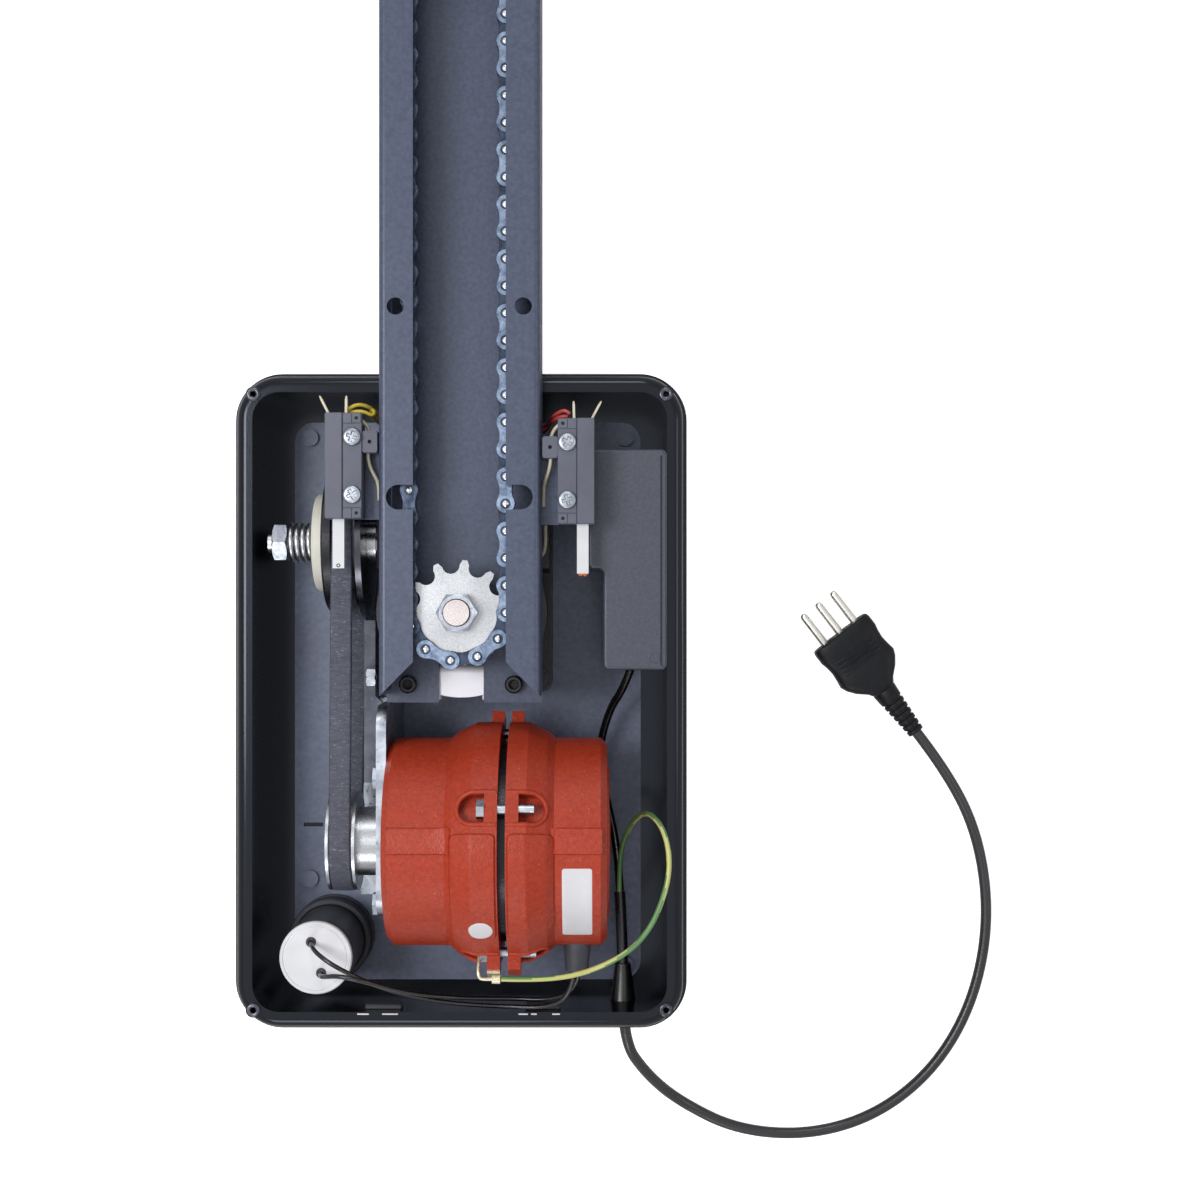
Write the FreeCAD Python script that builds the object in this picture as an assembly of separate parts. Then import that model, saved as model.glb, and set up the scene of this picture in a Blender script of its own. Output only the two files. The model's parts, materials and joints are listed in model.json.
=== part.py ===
import FreeCAD, Part
import math
import os

# Up-and-over gate opener with its cover off: motor, belt, friction clutch, gearbox and chain rail
# in an open tray. Millimetres. The origin is the middle of the tray's back, +Y runs out along the
# rail and +Z up from the back.

os.makedirs("parts", exist_ok=True)

Vector = FreeCAD.Vector
X_AXIS = Vector(1, 0, 0)
Y_AXIS = Vector(0, 1, 0)
Z_AXIS = Vector(0, 0, 1)

# driving dimensions: tray and base plate
TRAY_WIDTH = 220.0
TRAY_LENGTH = 319.0
TRAY_DEPTH = 60.0
TRAY_CORNER_R = 23.0
TRAY_WALL = 3.0
TRAY_FLOOR = 2.2
LIP_WIDTH = 10.0
LIP_DROP = 14.0
LIP_ROUND = 5.0
LIP_BEAD = 2.0
BEAD_HEIGHT = 3.0
COVER_SCREW_INSET_X = 10.5
COVER_SCREW_INSET_Y = 11.0
COVER_BOSS_R = 3.6
COVER_HOLE_R = 1.4
COVER_BOSS_DEPTH = 22.0
PLATE_SIDE_ROOM = 11.5
PLATE_NEAR_ROOM = 4.5
PLATE_FAR_ROOM = 9.5
PLATE_THICK = 1.5
PLATE_CORNER_R = 10.0
PLATE_SLOT_LENGTH = 10.0
PLATE_SLOT_WIDTH = 2.0
SCREW_R = 2.0
SCREW_EDGE = 8.0

# driving dimensions: rail, chain and sprockets
RAIL_WIDTH = 75.0
RAIL_DEPTH = 35.0
RAIL_WALL = 2.0
RAIL_BEND_R = 3.0
RAIL_SLOT = 43.0
RAIL_OFFSET = 1.5
RAIL_NEAR = 43.3
RAIL_SCREW_R = 2.5
RAIL_SCREW_INSET = 8.8
RAIL_SCREW_SPACING = 50.6
MITRE_NEAR = 4.3
MITRE_FAR = 20.5
HANGER_DISTANCE = 141.9
HANGER_HOLE_R = 4.0
HANGER_SPACING = 59.2
NOTCH_DISTANCE = 53.5
NOTCH_R = 5.75
NOTCH_DEPTH = 12.5
WEB_CUTOUT_R = 10.75
CHAIN_PITCH = 12.7
TEETH = 11
RUN_LINKS = 27
ROLLER_R = 3.875
LINK_PLATE_R = 4.4
LINK_PLATE_THICK = 1.0
ROLLER_WIDTH = 3.5
CHAIN_RISE = 24.5
SPROCKET_THICK = 2.2
TOOTH_RISE = 2.2
OUTPUT_SHAFT_R = 6.0
SHOULDER_R = 8.0
SPROCKET_NUT_FLATS = 17.0
SPROCKET_NUT_THICK = 7.0
SPROCKET_HUB_R = 11.0
AXLE_R = 4.0
AXLE_HEAD_R = 6.0
FORK_HALF_WIDTH = 10.0
FORK_PLATE = 2.2
FORK_BIGHT = 6.0
FORK_ROOM = 1.2
END_TRAVEL = 8.0
END_PLATE = 3.0
END_FOOT = 18.0
END_HEIGHT = 12.0
TENSION_R = 4.0
TENSION_TAIL = 14.0
TENSION_NUT_FLATS = 13.0
TENSION_NUT_THICK = 6.5
WALL_HOLE_R = 3.3
WALL_HOLE_SPACING = 58.0

# driving dimensions: gearbox and clutch
GEARBOX_R = 41.0
GEARBOX_DISTANCE = 110.0
GEARBOX_BOLT_R = 3.0
GEARBOX_FLANGE = 6.0
FLANGE_HALF_X = 42.5
FLANGE_CORNER_R = 7.0
BOLT_HEAD_FLATS = 10.0
BOLT_HEAD_THICK = 4.0
COVER_THICK = 10.0
BOSS_R = 9.6
BOSS_HEIGHT = 9.0
EAR_R = 7.5
WORM_DISTANCE = 34.0
WORM_HEIGHT = 44.0
WORM_BARREL_R = 15.0
CLUTCH_WALL_ROOM = 5.4
CLUTCH_SHAFT_R = 5.0
WORM_SHAFT_R = 7.0
CLUTCH_COLLAR_R = 10.0
COLLAR_LENGTH = 4.0
CLUTCH_SEAT_R = 30.0
CLUTCH_FLANGE_R = 34.0
CLUTCH_PLATE_R = 36.5
CLUTCH_PLATE_THICK = 3.8
PULLEY_FLANGE = 4.5
FRICTION_DISC_R = 23.6
FRICTION_DISC_THICK = 6.0
SPRING_LENGTH = 14.0
SPRING_R = 8.7
SPRING_WIRE = 2.3
SPRING_TURNS = 4
CLUTCH_NUT_FLATS = 17.0
NUT_THICK = 7.4
THREAD_END = 2.5

# driving dimensions: motor and belt
MOTOR_DISTANCE = 82.8
MOTOR_R = 49.5
MOTOR_BULGE_R = 57.0
MOTOR_LENGTH = 103.7
MOTOR_SPLIT = 55.5
MOTOR_SPLIT_GAP = 3.7
MOTOR_EDGE = 3.0
BULGE_START = 29.0
BULGE_END = 24.4
BULGE_STEP = 3.5
BULGE_SLOPE = 12.5
MOTOR_SHAFT_R = 6.0
MOTOR_BACK = 8.0
LUG_ANGLE = 22.4
LUG_WIDTH = 14.0
LUG_REACH = 6.5
LUG_LENGTH = 6.0
POCKET_LENGTH = 39.7
TIE_BOLT_R = 2.4
TIE_BOLT_DEPTH = 3.0
TIE_BOLT_TAIL = 7.0
TIE_HEAD_FLATS = 8.0
TIE_HEAD_THICK = 3.5
STRIP_ANGLE = 7.0
STRIP_WIDTH = 11.5
STRIP_RISE = 0.8
BELT_WIDTH = 10.4
BELT_THICK = 2.4
BELT_TO_MOTOR = 22.0
MOTOR_PULLEY_R = 21.0
MOTOR_FLANGE_R = 23.4
MOTOR_FLANGE = 1.4
MOTOR_HUB_R = 16.5
BRACKET_THICK = 4.7
BRACKET_RISE = 24.0
BRACKET_CORNER_R = 12.0
BRACKET_FAR = 34.3
BRACKET_BOLT_R = 3.0
BRACKET_BOLT_REACH = 30.2
BRACKET_BOLT_DEPTH = 9.0
BRACKET_BORE_R = 9.0
FOOT_LENGTH = 17.0
FOOT_THICK = 3.0
FOOT_INSET = 10.0
GLAND_DISTANCE = 89.4
MOTOR_GLAND_R = 7.0
MOTOR_GLAND_TAPER = 1.4
MOTOR_GLAND_LENGTH = 19.0
MOTOR_GLAND_ROOT = 8.0
MOTOR_GLAND_RISE = 9.0

# driving dimensions: loose gear in the tray
CAPACITOR_R = 17.5
CAPACITOR_HEIGHT = 63.3
CAPACITOR_WALL_X = 31.9
CAPACITOR_WALL_Y = 27.8
CAPACITOR_CAP = 3.0
CAPACITOR_RIM = 0.8
BOOT_WALL = 3.0
BOOT_FLOOR = 2.0
BOOT_HEIGHT = 18.0
BOX_HEIGHT = 71.3
BOX_WALL = 2.5
BOX_RAIL_SHARE = 0.369
BOX_STEP_SHARE = 0.19
BOX_STEP_DISTANCE = 20.6
BOX_NEAR_DISTANCE = 27.3
BOX_FAR_ROOM = 28.7
BOX_CORNER_SHARE = 0.4
BOX_EDGE_SHARE = 0.6
LID_HEIGHT = 14.0
BOARD_FOOT = 8.0
BOARD_FOOT_R = 2.5
BOARD_THICK = 1.6
BOARD_ROOM_SHARE = 0.049
BOARD_END_ROOM = 3.5
BOARD_MARGIN = 0.5
TRANSFORMER_LENGTH = 30.0
TRANSFORMER_HEIGHT = 22.4
RELAY_LENGTH = 26.0
RELAY_HEIGHT = 14.4
SWITCH_LENGTH = 49.0
SWITCH_WIDTH = 17.0
SWITCH_DEPTH = 14.0
SWITCH_LEFT_ROOM = 7.8
SWITCH_RIGHT_ROOM = 8.0
SWITCH_FAR_LEFT = 92.7
SWITCH_FAR_RIGHT = 90.2
SWITCH_STEP = 0.8
SWITCH_SCREW_R = 2.2
SWITCH_HEAD_R = 4.2
SWITCH_HEAD_THICK = 2.4
SWITCH_SCREW_OFFSET = 4.1
SWITCH_SCREW_SPACING = 26.8
SWITCH_SCREW_INSET = 11.0
PRONG_LENGTH = 8.0
PRONG_THICK = 0.8
PRONG_WIDTH = 3.0
PRONG_SPACING = 8.0
LEVER_LENGTH = 27.0
LEVER_WIDTH = 5.4
LEVER_THICK = 3.0
LEVER_OFFSET = 3.06
LEVER_PIN_R = 1.2
LEVER_PIN_INSET = 4.0
LEVER_SLOT = 9.0
LEVER_HEIGHT = 4.0
SHELF_THICK = 1.6
SHELF_END = 8.0
SKIRT_RISE = 4.0

# driving dimensions: cords and plug
CORD_D = 5.5
CORD_WALL_DISTANCE = 31.0
CORD_EXIT_Z = 30.0
GLAND_R = 6.2
GLAND_FLANGE = 2.0
GLAND_LENGTH = 18.0
GLAND_TIP_R = 3.9
EARTH_D = 2.6
LEAD_D = 2.2
SUPPLY_D = 4.0
TERMINAL_THICK = 1.2
TERMINAL_WIDTH = 8.0
CRIMP_R = 2.1
CRIMP_LENGTH = 3.8

# cord and wire routes, as steps in x, y, z from the place that each is tied to
SHEATH_END = -29.3
SHEATH_BEND = -54.3
SHEATH_LEAN = -1.5
CORD_START = -78.3
CORD_FROM_WALL = [(12.0, -30.5, 17.0), (29.0, -47.5, 5.0)]
CORD_STRAIGHT = -10.5
CORD_ON_FLOOR = [(59, -63), (97, -65.5), (132, -54.5), (161, -30.5), (180, 3), (188, 43.5), (183.5, 84.5)]
CORD_TO_PLUG = [(168, 118.2), (150, 141.5)]
EARTH_BY_MOTOR = [(-32.5, -62.3, 24.0), (-13.5, -60.4, 22.0), (1.4, -55.1, 20.0), (12.7, -48.3, 18.5)]
EARTH_BY_WALL = [
    (12.8, -38.6, 17.0), (18.0, -27.0, 16.0), (21.4, -14.7, 15.5), (21.4, -1.6, 14.5),
    (17.8, 9.2, 10.0), (10.7, 14.4, -3.0), (3.0, 5.2, -18.5), (-2.0, -10.9, -26.0),
]
EARTH_IN_SHEATH = (-1.6, 0.4, 1.9)
SUPPLY_IN_SHEATH = (-1.4, 0.4, -2.0)
SUPPLY_BY_MOTOR = [
    (-2.0, -16.8, 20.5), (-4.0, -2.8, 12.0), (-7.5, 12.2, 7.2), (-11.0, 28.2, 8.5), (-11.5, 42.7, 15.0),
]
SUPPLY_BY_BOX = [(-6.5, -21.3, 24.5), (0.5, -10.5, 33.0), (3.8, -1.0, 36.8)]
LEAD_A_BY_CAPACITOR = [
    (-2.2, 7.6, 0.3), (-0.4, 6.5, 10.5), (8.1, 1.2, 17.0), (20.1, -5.8, 15.0), (31.1, -12.8, 5.0),
    (43.1, -18.8, -5.0), (59.1, -23.3, -11.0), (76.1, -25.3, -13.0),
]
LEAD_A_BY_GLAND = [(-31.7, -20.2, -13.1), (-15.7, -20.0, -9.6), (-3.2, -13.6, -3.1), (-1.3, -0.6, 0.5)]
LEAD_B_BY_CAPACITOR = [
    (2.6, -7.2, 0.3), (3.1, -7.0, 8.5), (6.6, -5.9, 16.0), (13.1, -4.4, 21.0), (21.6, -5.8, 22.0),
    (30.1, -8.8, 18.0), (39.6, -13.8, 8.0), (50.6, -18.3, -3.0), (64.6, -21.3, -11.5), (80.1, -22.6, -15.5),
]
LEAD_B_BY_GLAND = [(-29.7, -17.2, -17.3), (-14.2, -17.2, -13.6), (-0.7, -11.6, -7.1), (1.2, -0.6, -2.7)]
BOOT_LENGTH = 27.0
BOOT_TIP_R = 4.2
BOOT_ROOT_R = 6.4
PLUG_WIDTH = 34.0
PLUG_LENGTH = 37.0
PLUG_THICK = 14.0
PLUG_NECK = 14.0
PLUG_SHOULDER = 26.0
PIN_D = 4.0
PIN_LENGTH = 19.0
PIN_SPACING = 9.5

# clearances
RUN_GAP = 0.3
SEAT_GAP = 0.1
SIDE_GAP = 0.6
RIM_GAP = 2.0
BARREL_STEP = 1.0
COLLAR_GAP = 0.5

# tray inside and base plate
inner_x = TRAY_WIDTH / 2 - LIP_WIDTH
inner_y = TRAY_LENGTH / 2 - LIP_WIDTH
beyond = TRAY_LENGTH + RAIL_DEPTH
plate_x = inner_x - PLATE_SIDE_ROOM
plate_y0 = PLATE_NEAR_ROOM - inner_y
plate_y1 = inner_y - PLATE_FAR_ROOM
plate_top = TRAY_FLOOR + PLATE_THICK
cord_x = TRAY_WIDTH / 2 - CORD_WALL_DISTANCE

# heights that follow
rail_z0 = TRAY_DEPTH + RIM_GAP
rail_z1 = rail_z0 + RAIL_DEPTH
web_top = rail_z0 + RAIL_WALL
chain_z = rail_z0 + CHAIN_RISE
motor_z = plate_top + RUN_GAP + MOTOR_BULGE_R
shoulder_z = rail_z0 + BOSS_HEIGHT + BARREL_STEP + COLLAR_GAP

# clutch stack along X, from the tray's side wall to the gearbox
belt_seat_length = BELT_WIDTH + 2 * RUN_GAP
clutch_end_x = CLUTCH_WALL_ROOM - inner_x
clutch_nut_x = clutch_end_x + THREAD_END
spring_x = clutch_nut_x + NUT_THICK
friction_x = spring_x + SPRING_LENGTH
pulley_x = friction_x + FRICTION_DISC_THICK
pulley_seat_x = pulley_x + PULLEY_FLANGE
clutch_plate_x = pulley_seat_x + belt_seat_length
collar_x = clutch_plate_x + CLUTCH_PLATE_THICK
barrel_x = collar_x + COLLAR_LENGTH + COLLAR_GAP
belt_mid_x = (pulley_seat_x + clutch_plate_x) / 2

# motor, gearbox and rail places in the tray
motor_x0 = belt_mid_x + BELT_TO_MOTOR
motor_x1 = motor_x0 + MOTOR_LENGTH
motor_y = MOTOR_DISTANCE - inner_y
bracket_x0 = motor_x0 - BRACKET_THICK
split_x = motor_x0 + MOTOR_SPLIT
split_x0 = split_x - MOTOR_SPLIT_GAP / 2
split_x1 = split_x + MOTOR_SPLIT_GAP / 2
lug_x0 = split_x0 - LUG_LENGTH
lug_x1 = split_x1 + LUG_LENGTH
motor_pulley_x0 = belt_mid_x - BELT_WIDTH / 2 - RUN_GAP - MOTOR_FLANGE
motor_pulley_x1 = belt_mid_x + BELT_WIDTH / 2 + RUN_GAP + MOTOR_FLANGE
bracket_foot_x = bracket_x0 - FOOT_LENGTH / 2
sprocket_x = barrel_x + BARREL_STEP + GEARBOX_R
sprocket_y = motor_y + GEARBOX_DISTANCE
worm_y = sprocket_y + WORM_DISTANCE
rail_mid_x = sprocket_x + RAIL_OFFSET
rail_x0 = rail_mid_x - RAIL_WIDTH / 2
rail_x1 = rail_mid_x + RAIL_WIDTH / 2
rail_y0 = sprocket_y - RAIL_NEAR
bracket_y0 = motor_y - BRACKET_FAR
bracket_y1 = rail_y0 - SIDE_GAP
slot_x0 = rail_mid_x - RAIL_SLOT / 2
slot_x1 = rail_mid_x + RAIL_SLOT / 2

# chain sizes that follow
pitch_r = CHAIN_PITCH / (2 * math.sin(math.pi / TEETH))
tooth_step = 360.0 / TEETH
return_y = sprocket_y + (RUN_LINKS - 0.5) * CHAIN_PITCH
inner_z = ROLLER_WIDTH / 2
outer_z = inner_z + LINK_PLATE_THICK
chain_half_height = outer_z + LINK_PLATE_THICK
fork_gap = chain_half_height + FORK_ROOM
bight_y = return_y + pitch_r + LINK_PLATE_R + FORK_ROOM + RUN_GAP
rail_end_y = bight_y + FORK_BIGHT + END_TRAVEL

# control box and capacitor places
box_x1 = inner_x - SIDE_GAP
box_x0 = rail_x1 + BOX_RAIL_SHARE * (box_x1 - rail_x1)
box_y0 = sprocket_y - BOX_NEAR_DISTANCE
box_step_x = box_x0 + BOX_STEP_SHARE * (box_x1 - box_x0)
box_corner_r = BOX_CORNER_SHARE * (box_step_x - box_x0)
box_edge_r = BOX_EDGE_SHARE * box_corner_r
board_room = BOARD_ROOM_SHARE * (box_x1 - box_x0)
box_y1 = inner_y - BOX_FAR_ROOM
capacitor_x = CAPACITOR_WALL_X - inner_x
capacitor_y = CAPACITOR_WALL_Y - inner_y
sheath_y = motor_y + SHEATH_END

node_shapes = {}


def keep(name, shape):
    """Hold a finished piece under its node name."""
    node_shapes[name] = shape


def box(x0, x1, y0, y1, z0, z1):
    return Part.makeBox(x1 - x0, y1 - y0, z1 - z0, Vector(x0, y0, z0))


def rod(radius, start, axis, length):
    return Part.makeCylinder(radius, length, start, axis)


def rod_x(radius, x0, x1, y, z):
    return rod(radius, Vector(x0, y, z), X_AXIS, x1 - x0)


def rod_z(radius, x, y, z0, z1):
    return rod(radius, Vector(x, y, z0), Z_AXIS, z1 - z0)


def joined(shapes):
    """Fuse a list of touching solids into one clean solid."""
    return shapes[0].multiFuse(shapes[1:]).removeSplitter()


def prism(points, z0, z1):
    """Upright prism on a plan outline."""
    corners = [Vector(x, y, z0) for x, y in points]
    outline = Part.makePolygon(corners + corners[:1])
    return Part.Face(outline).extrude(Vector(0, 0, z1 - z0))


def rounded_block(x0, x1, y0, y1, z0, z1, radius):
    """Block with its four upright edges rounded."""
    block = box(x0, x1, y0, y1, z0, z1)
    upright = [edge for edge in block.Edges if abs(edge.tangentAt(edge.FirstParameter).z) > 0.5]
    return block.makeFillet(radius, upright)


def hex_bar(across_flats, start, axis, length):
    """Hexagonal bar for nuts and bolt heads."""
    corner_r = across_flats / math.sqrt(3)
    corners = [
        Vector(corner_r * math.cos(math.radians(60 * i)), corner_r * math.sin(math.radians(60 * i)), 0)
        for i in range(6)
    ]
    bar = Part.Face(Part.makePolygon(corners + corners[:1])).extrude(Vector(0, 0, length))
    bar.Placement = FreeCAD.Placement(start, FreeCAD.Rotation(Z_AXIS, axis))
    return bar


def turned_x(profile, y, z):
    """Solid of revolution about an X axis from (x, radius) corners."""
    corners = [Vector(x, y, z + r) for x, r in profile]
    face = Part.Face(Part.makePolygon(corners + corners[:1]))
    return face.revolve(Vector(0, y, z), X_AXIS, 360)


def ring_x(outer_r, inner_r, x0, x1, y, z):
    return rod_x(outer_r, x0, x1, y, z).cut(rod_x(inner_r, x0 - 1, x1 + 1, y, z))


def tube_along(points, diameter):
    """Round cord: straight runs with a tangent arc at each corner."""
    radius = diameter / 2
    edges = []
    start = points[0]
    for before, corner, after in zip(points, points[1:], points[2:]):
        into = (corner - before).normalize()
        away = (after - corner).normalize()
        turn = into.getAngle(away)
        shorter = min((corner - before).Length, (after - corner).Length)
        reach = 0.45 * shorter
        bend_r = reach / math.tan(turn / 2)
        print("cord bend radius %.1f mm" % bend_r)
        arc_start = corner - into * reach
        arc_end = corner + away * reach
        to_middle = (away - into).normalize()
        middle = corner + to_middle * (bend_r / math.cos(turn / 2) - bend_r)
        edges.append(Part.makeLine(start, arc_start))
        edges.append(Part.Arc(arc_start, middle, arc_end).toShape())
        start = arc_end
    edges.append(Part.makeLine(start, points[-1]))
    route = Part.Wire(edges)
    first = (points[1] - points[0]).normalize()
    section = Part.Wire(Part.makeCircle(radius, points[0], first))
    cord = route.makePipeShell([section], True, False)
    print("cord volume %.1f, section by length %.1f" % (cord.Volume, math.pi * radius**2 * route.Length))
    return cord


def cover_screw_places():
    """Four bosses in the corners of the lip that take the missing cover's screws."""
    x = TRAY_WIDTH / 2 - COVER_SCREW_INSET_X
    y = TRAY_LENGTH / 2 - COVER_SCREW_INSET_Y
    return [(-x, -y), (x, -y), (x, y), (-x, y)]


def plate_screw_places():
    """Screws that hold the base plate to the tray floor."""
    edge_x = plate_x - SCREW_EDGE
    near = plate_y0 + SCREW_EDGE
    far = plate_y1 - SCREW_EDGE
    beside_capacitor = capacitor_y + CAPACITOR_R + BOOT_WALL + SCREW_EDGE
    return [(-edge_x, far), (edge_x, far), (edge_x, near), (-edge_x, beside_capacitor)]


def tray_ring(inset, z0, z1):
    """Block with the tray's rounded plan, set in from its outer edge."""
    half_w = TRAY_WIDTH / 2 - inset
    half_l = TRAY_LENGTH / 2 - inset
    return rounded_block(-half_w, half_w, -half_l, half_l, z0, z1, TRAY_CORNER_R - inset)


def build_tray():
    lip_z = TRAY_DEPTH - LIP_DROP
    wall_inset = LIP_WIDTH - TRAY_WALL
    lip = tray_ring(LIP_BEAD, lip_z, TRAY_DEPTH)
    rim = [edge for edge in lip.Edges if edge.BoundBox.ZMin > TRAY_DEPTH - 0.01]
    lip = lip.makeFillet(LIP_ROUND, rim)
    bead = tray_ring(0, lip_z, lip_z + BEAD_HEIGHT)
    gutter = tray_ring(LIP_BEAD + TRAY_WALL, lip_z - TRAY_WALL, TRAY_DEPTH - TRAY_WALL)
    wall = tray_ring(wall_inset, 0, TRAY_DEPTH)
    inside = tray_ring(LIP_WIDTH, TRAY_FLOOR, TRAY_DEPTH + TRAY_WALL)
    solids = [lip.fuse(bead).cut(gutter), wall]
    holes = [inside]
    for x, y in cover_screw_places():
        solids.append(rod_z(COVER_BOSS_R, x, y, TRAY_DEPTH - COVER_BOSS_DEPTH, TRAY_DEPTH + SIDE_GAP))
        hole_low = TRAY_DEPTH - COVER_BOSS_DEPTH + TRAY_WALL
        holes.append(rod_z(COVER_HOLE_R, x, y, hole_low, TRAY_DEPTH + RIM_GAP))
    for x, y in plate_screw_places():
        holes.append(rod_z(SCREW_R + RUN_GAP, x, y, -TRAY_FLOOR, 2 * TRAY_FLOOR))
    cord_hole = Vector(cord_x, -inner_y - LIP_WIDTH, CORD_EXIT_Z)
    holes.append(rod(GLAND_R + RUN_GAP, cord_hole, Y_AXIS, LIP_WIDTH + TRAY_WALL))
    keep("housing_tray", joined(solids).cut(holes).removeSplitter())


def build_base_plate():
    plate = rounded_block(-plate_x, plate_x, plate_y0, plate_y1, TRAY_FLOOR, plate_top, PLATE_CORNER_R)
    slot_x = PLATE_THICK * 3 - plate_x
    holes = [box(slot_x, slot_x + PLATE_SLOT_LENGTH, motor_y, motor_y + PLATE_SLOT_WIDTH, 0, 2 * plate_top)]
    for x, y in plate_screw_places():
        holes.append(rod_z(SCREW_R + RUN_GAP, x, y, 0, 2 * plate_top))
    for x, y in gearbox_bolt_places():
        holes.append(rod_z(GEARBOX_BOLT_R + RUN_GAP, x, y, 0, 2 * plate_top))
    for y in bracket_foot_places():
        holes.append(rod_z(GEARBOX_BOLT_R + RUN_GAP, bracket_foot_x, y, 0, 2 * plate_top))
    keep("base_plate", plate.cut(holes))
    screws = []
    for x, y in plate_screw_places():
        head = rod_z(2.1 * SCREW_R, x, y, plate_top, plate_top + 1.2 * SCREW_R)
        screws.append(head.fuse(rod_z(SCREW_R, x, y, SIDE_GAP, plate_top)))
    keep("base_plate_screws", Part.makeCompound(screws))


def gearbox_bolt_places():
    """Corner bolts of the gearbox foot flange."""
    near = sprocket_y - GEARBOX_R + FLANGE_CORNER_R + BARREL_STEP
    far = worm_y + FLANGE_CORNER_R + BARREL_STEP
    reach = FLANGE_HALF_X - FLANGE_CORNER_R
    return [(sprocket_x + side * reach, y) for side in (-1, 1) for y in (near, far)]


def rail_screw_places():
    """Two screws that hold the near end of the rail's web to the gearbox cover."""
    y = rail_y0 + RAIL_SCREW_INSET
    return [(sprocket_x + side * RAIL_SCREW_SPACING / 2, y) for side in (-1, 1)]


def build_gearbox():
    cover_z = rail_z0 - COVER_THICK
    flange_top = plate_top + GEARBOX_FLANGE
    shaft_foot = flange_top + GEARBOX_FLANGE + RIM_GAP
    flange = rounded_block(
        sprocket_x - FLANGE_HALF_X, sprocket_x + FLANGE_HALF_X,
        sprocket_y - GEARBOX_R, worm_y + WORM_BARREL_R,
        plate_top, flange_top, FLANGE_CORNER_R,
    )
    body = rod_z(GEARBOX_R - BARREL_STEP, sprocket_x, sprocket_y, plate_top, cover_z)
    barrel = rod_x(WORM_BARREL_R, barrel_x, 2 * sprocket_x - barrel_x, worm_y, WORM_HEIGHT)
    barrel = barrel.common(box(-beyond, beyond, -beyond, beyond, plate_top, cover_z))
    pillar = box(
        sprocket_x - 2 * WORM_BARREL_R, sprocket_x + 2 * WORM_BARREL_R,
        worm_y - 0.6 * WORM_BARREL_R, worm_y + 0.6 * WORM_BARREL_R, plate_top, WORM_HEIGHT,
    )
    shaft_room = rod_x(
        WORM_SHAFT_R + RUN_GAP, barrel_x - COLLAR_LENGTH, sprocket_x + RUN_GAP, worm_y, WORM_HEIGHT
    )
    holes = [rod_z(SHOULDER_R + RUN_GAP, sprocket_x, sprocket_y, shaft_foot, rail_z1), shaft_room]
    for x, y in gearbox_bolt_places():
        holes.append(rod_z(GEARBOX_BOLT_R + RUN_GAP, x, y, 0, flange_top + SIDE_GAP))
        holes.append(rod_z(2.3 * GEARBOX_BOLT_R, x, y, flange_top, WORM_HEIGHT - WORM_BARREL_R / 2))
    keep("gearbox_housing", joined([flange, body, pillar, barrel]).cut(holes))

    lid = [rod_z(GEARBOX_R, sprocket_x, sprocket_y, cover_z, rail_z0)]
    for x, y in rail_screw_places():
        lid.append(rod_z(EAR_R, x, y, cover_z, rail_z0))
        inner = sprocket_x + 0.4 * (x - sprocket_x)
        lid.append(box(min(x, inner), max(x, inner), y - EAR_R, sprocket_y - BOSS_R, cover_z, rail_z0))
    lid.append(rod_z(BOSS_R, sprocket_x, sprocket_y, rail_z0, rail_z0 + BOSS_HEIGHT))
    holes = [rod_z(SHOULDER_R + RUN_GAP, sprocket_x, sprocket_y, 0, rail_z1), shaft_room]
    # the plain front edge between the ears follows the round of the body
    bay = box(
        sprocket_x - BOSS_R, sprocket_x + BOSS_R, rail_y0 - GEARBOX_R, sprocket_y, 0, rail_z0 + SIDE_GAP
    )
    holes.append(bay.cut(rod_z(GEARBOX_R, sprocket_x, sprocket_y, -RIM_GAP, rail_z1)))
    for x, y in rail_screw_places():
        holes.append(rod_z(RAIL_SCREW_R + RUN_GAP, x, y, 0, rail_z1))
    keep("gearbox_cover", joined(lid).cut(holes).removeSplitter())

    bolts = []
    for x, y in gearbox_bolt_places():
        head = hex_bar(BOLT_HEAD_FLATS, Vector(x, y, flange_top), Z_AXIS, BOLT_HEAD_THICK)
        bolts.append(head.fuse(rod_z(GEARBOX_BOLT_R, x, y, TRAY_FLOOR, flange_top)))
    keep("gearbox_bolts", Part.makeCompound(bolts))

    shaft = [
        rod_z(SHOULDER_R, sprocket_x, sprocket_y, shaft_foot, shoulder_z),
        rod_z(OUTPUT_SHAFT_R, sprocket_x, sprocket_y, shoulder_z, rail_z1),
    ]
    keep("output_shaft", joined(shaft))


def bent_bar(x0, x1, y0, y1, z0, z1, radius):
    """Bar along Y with its four long edges rounded."""
    bar = box(x0, x1, y0, y1, z0, z1)
    along = [edge for edge in bar.Edges if abs(edge.tangentAt(edge.FirstParameter).y) > 0.5]
    return bar.makeFillet(radius, along)


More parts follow.
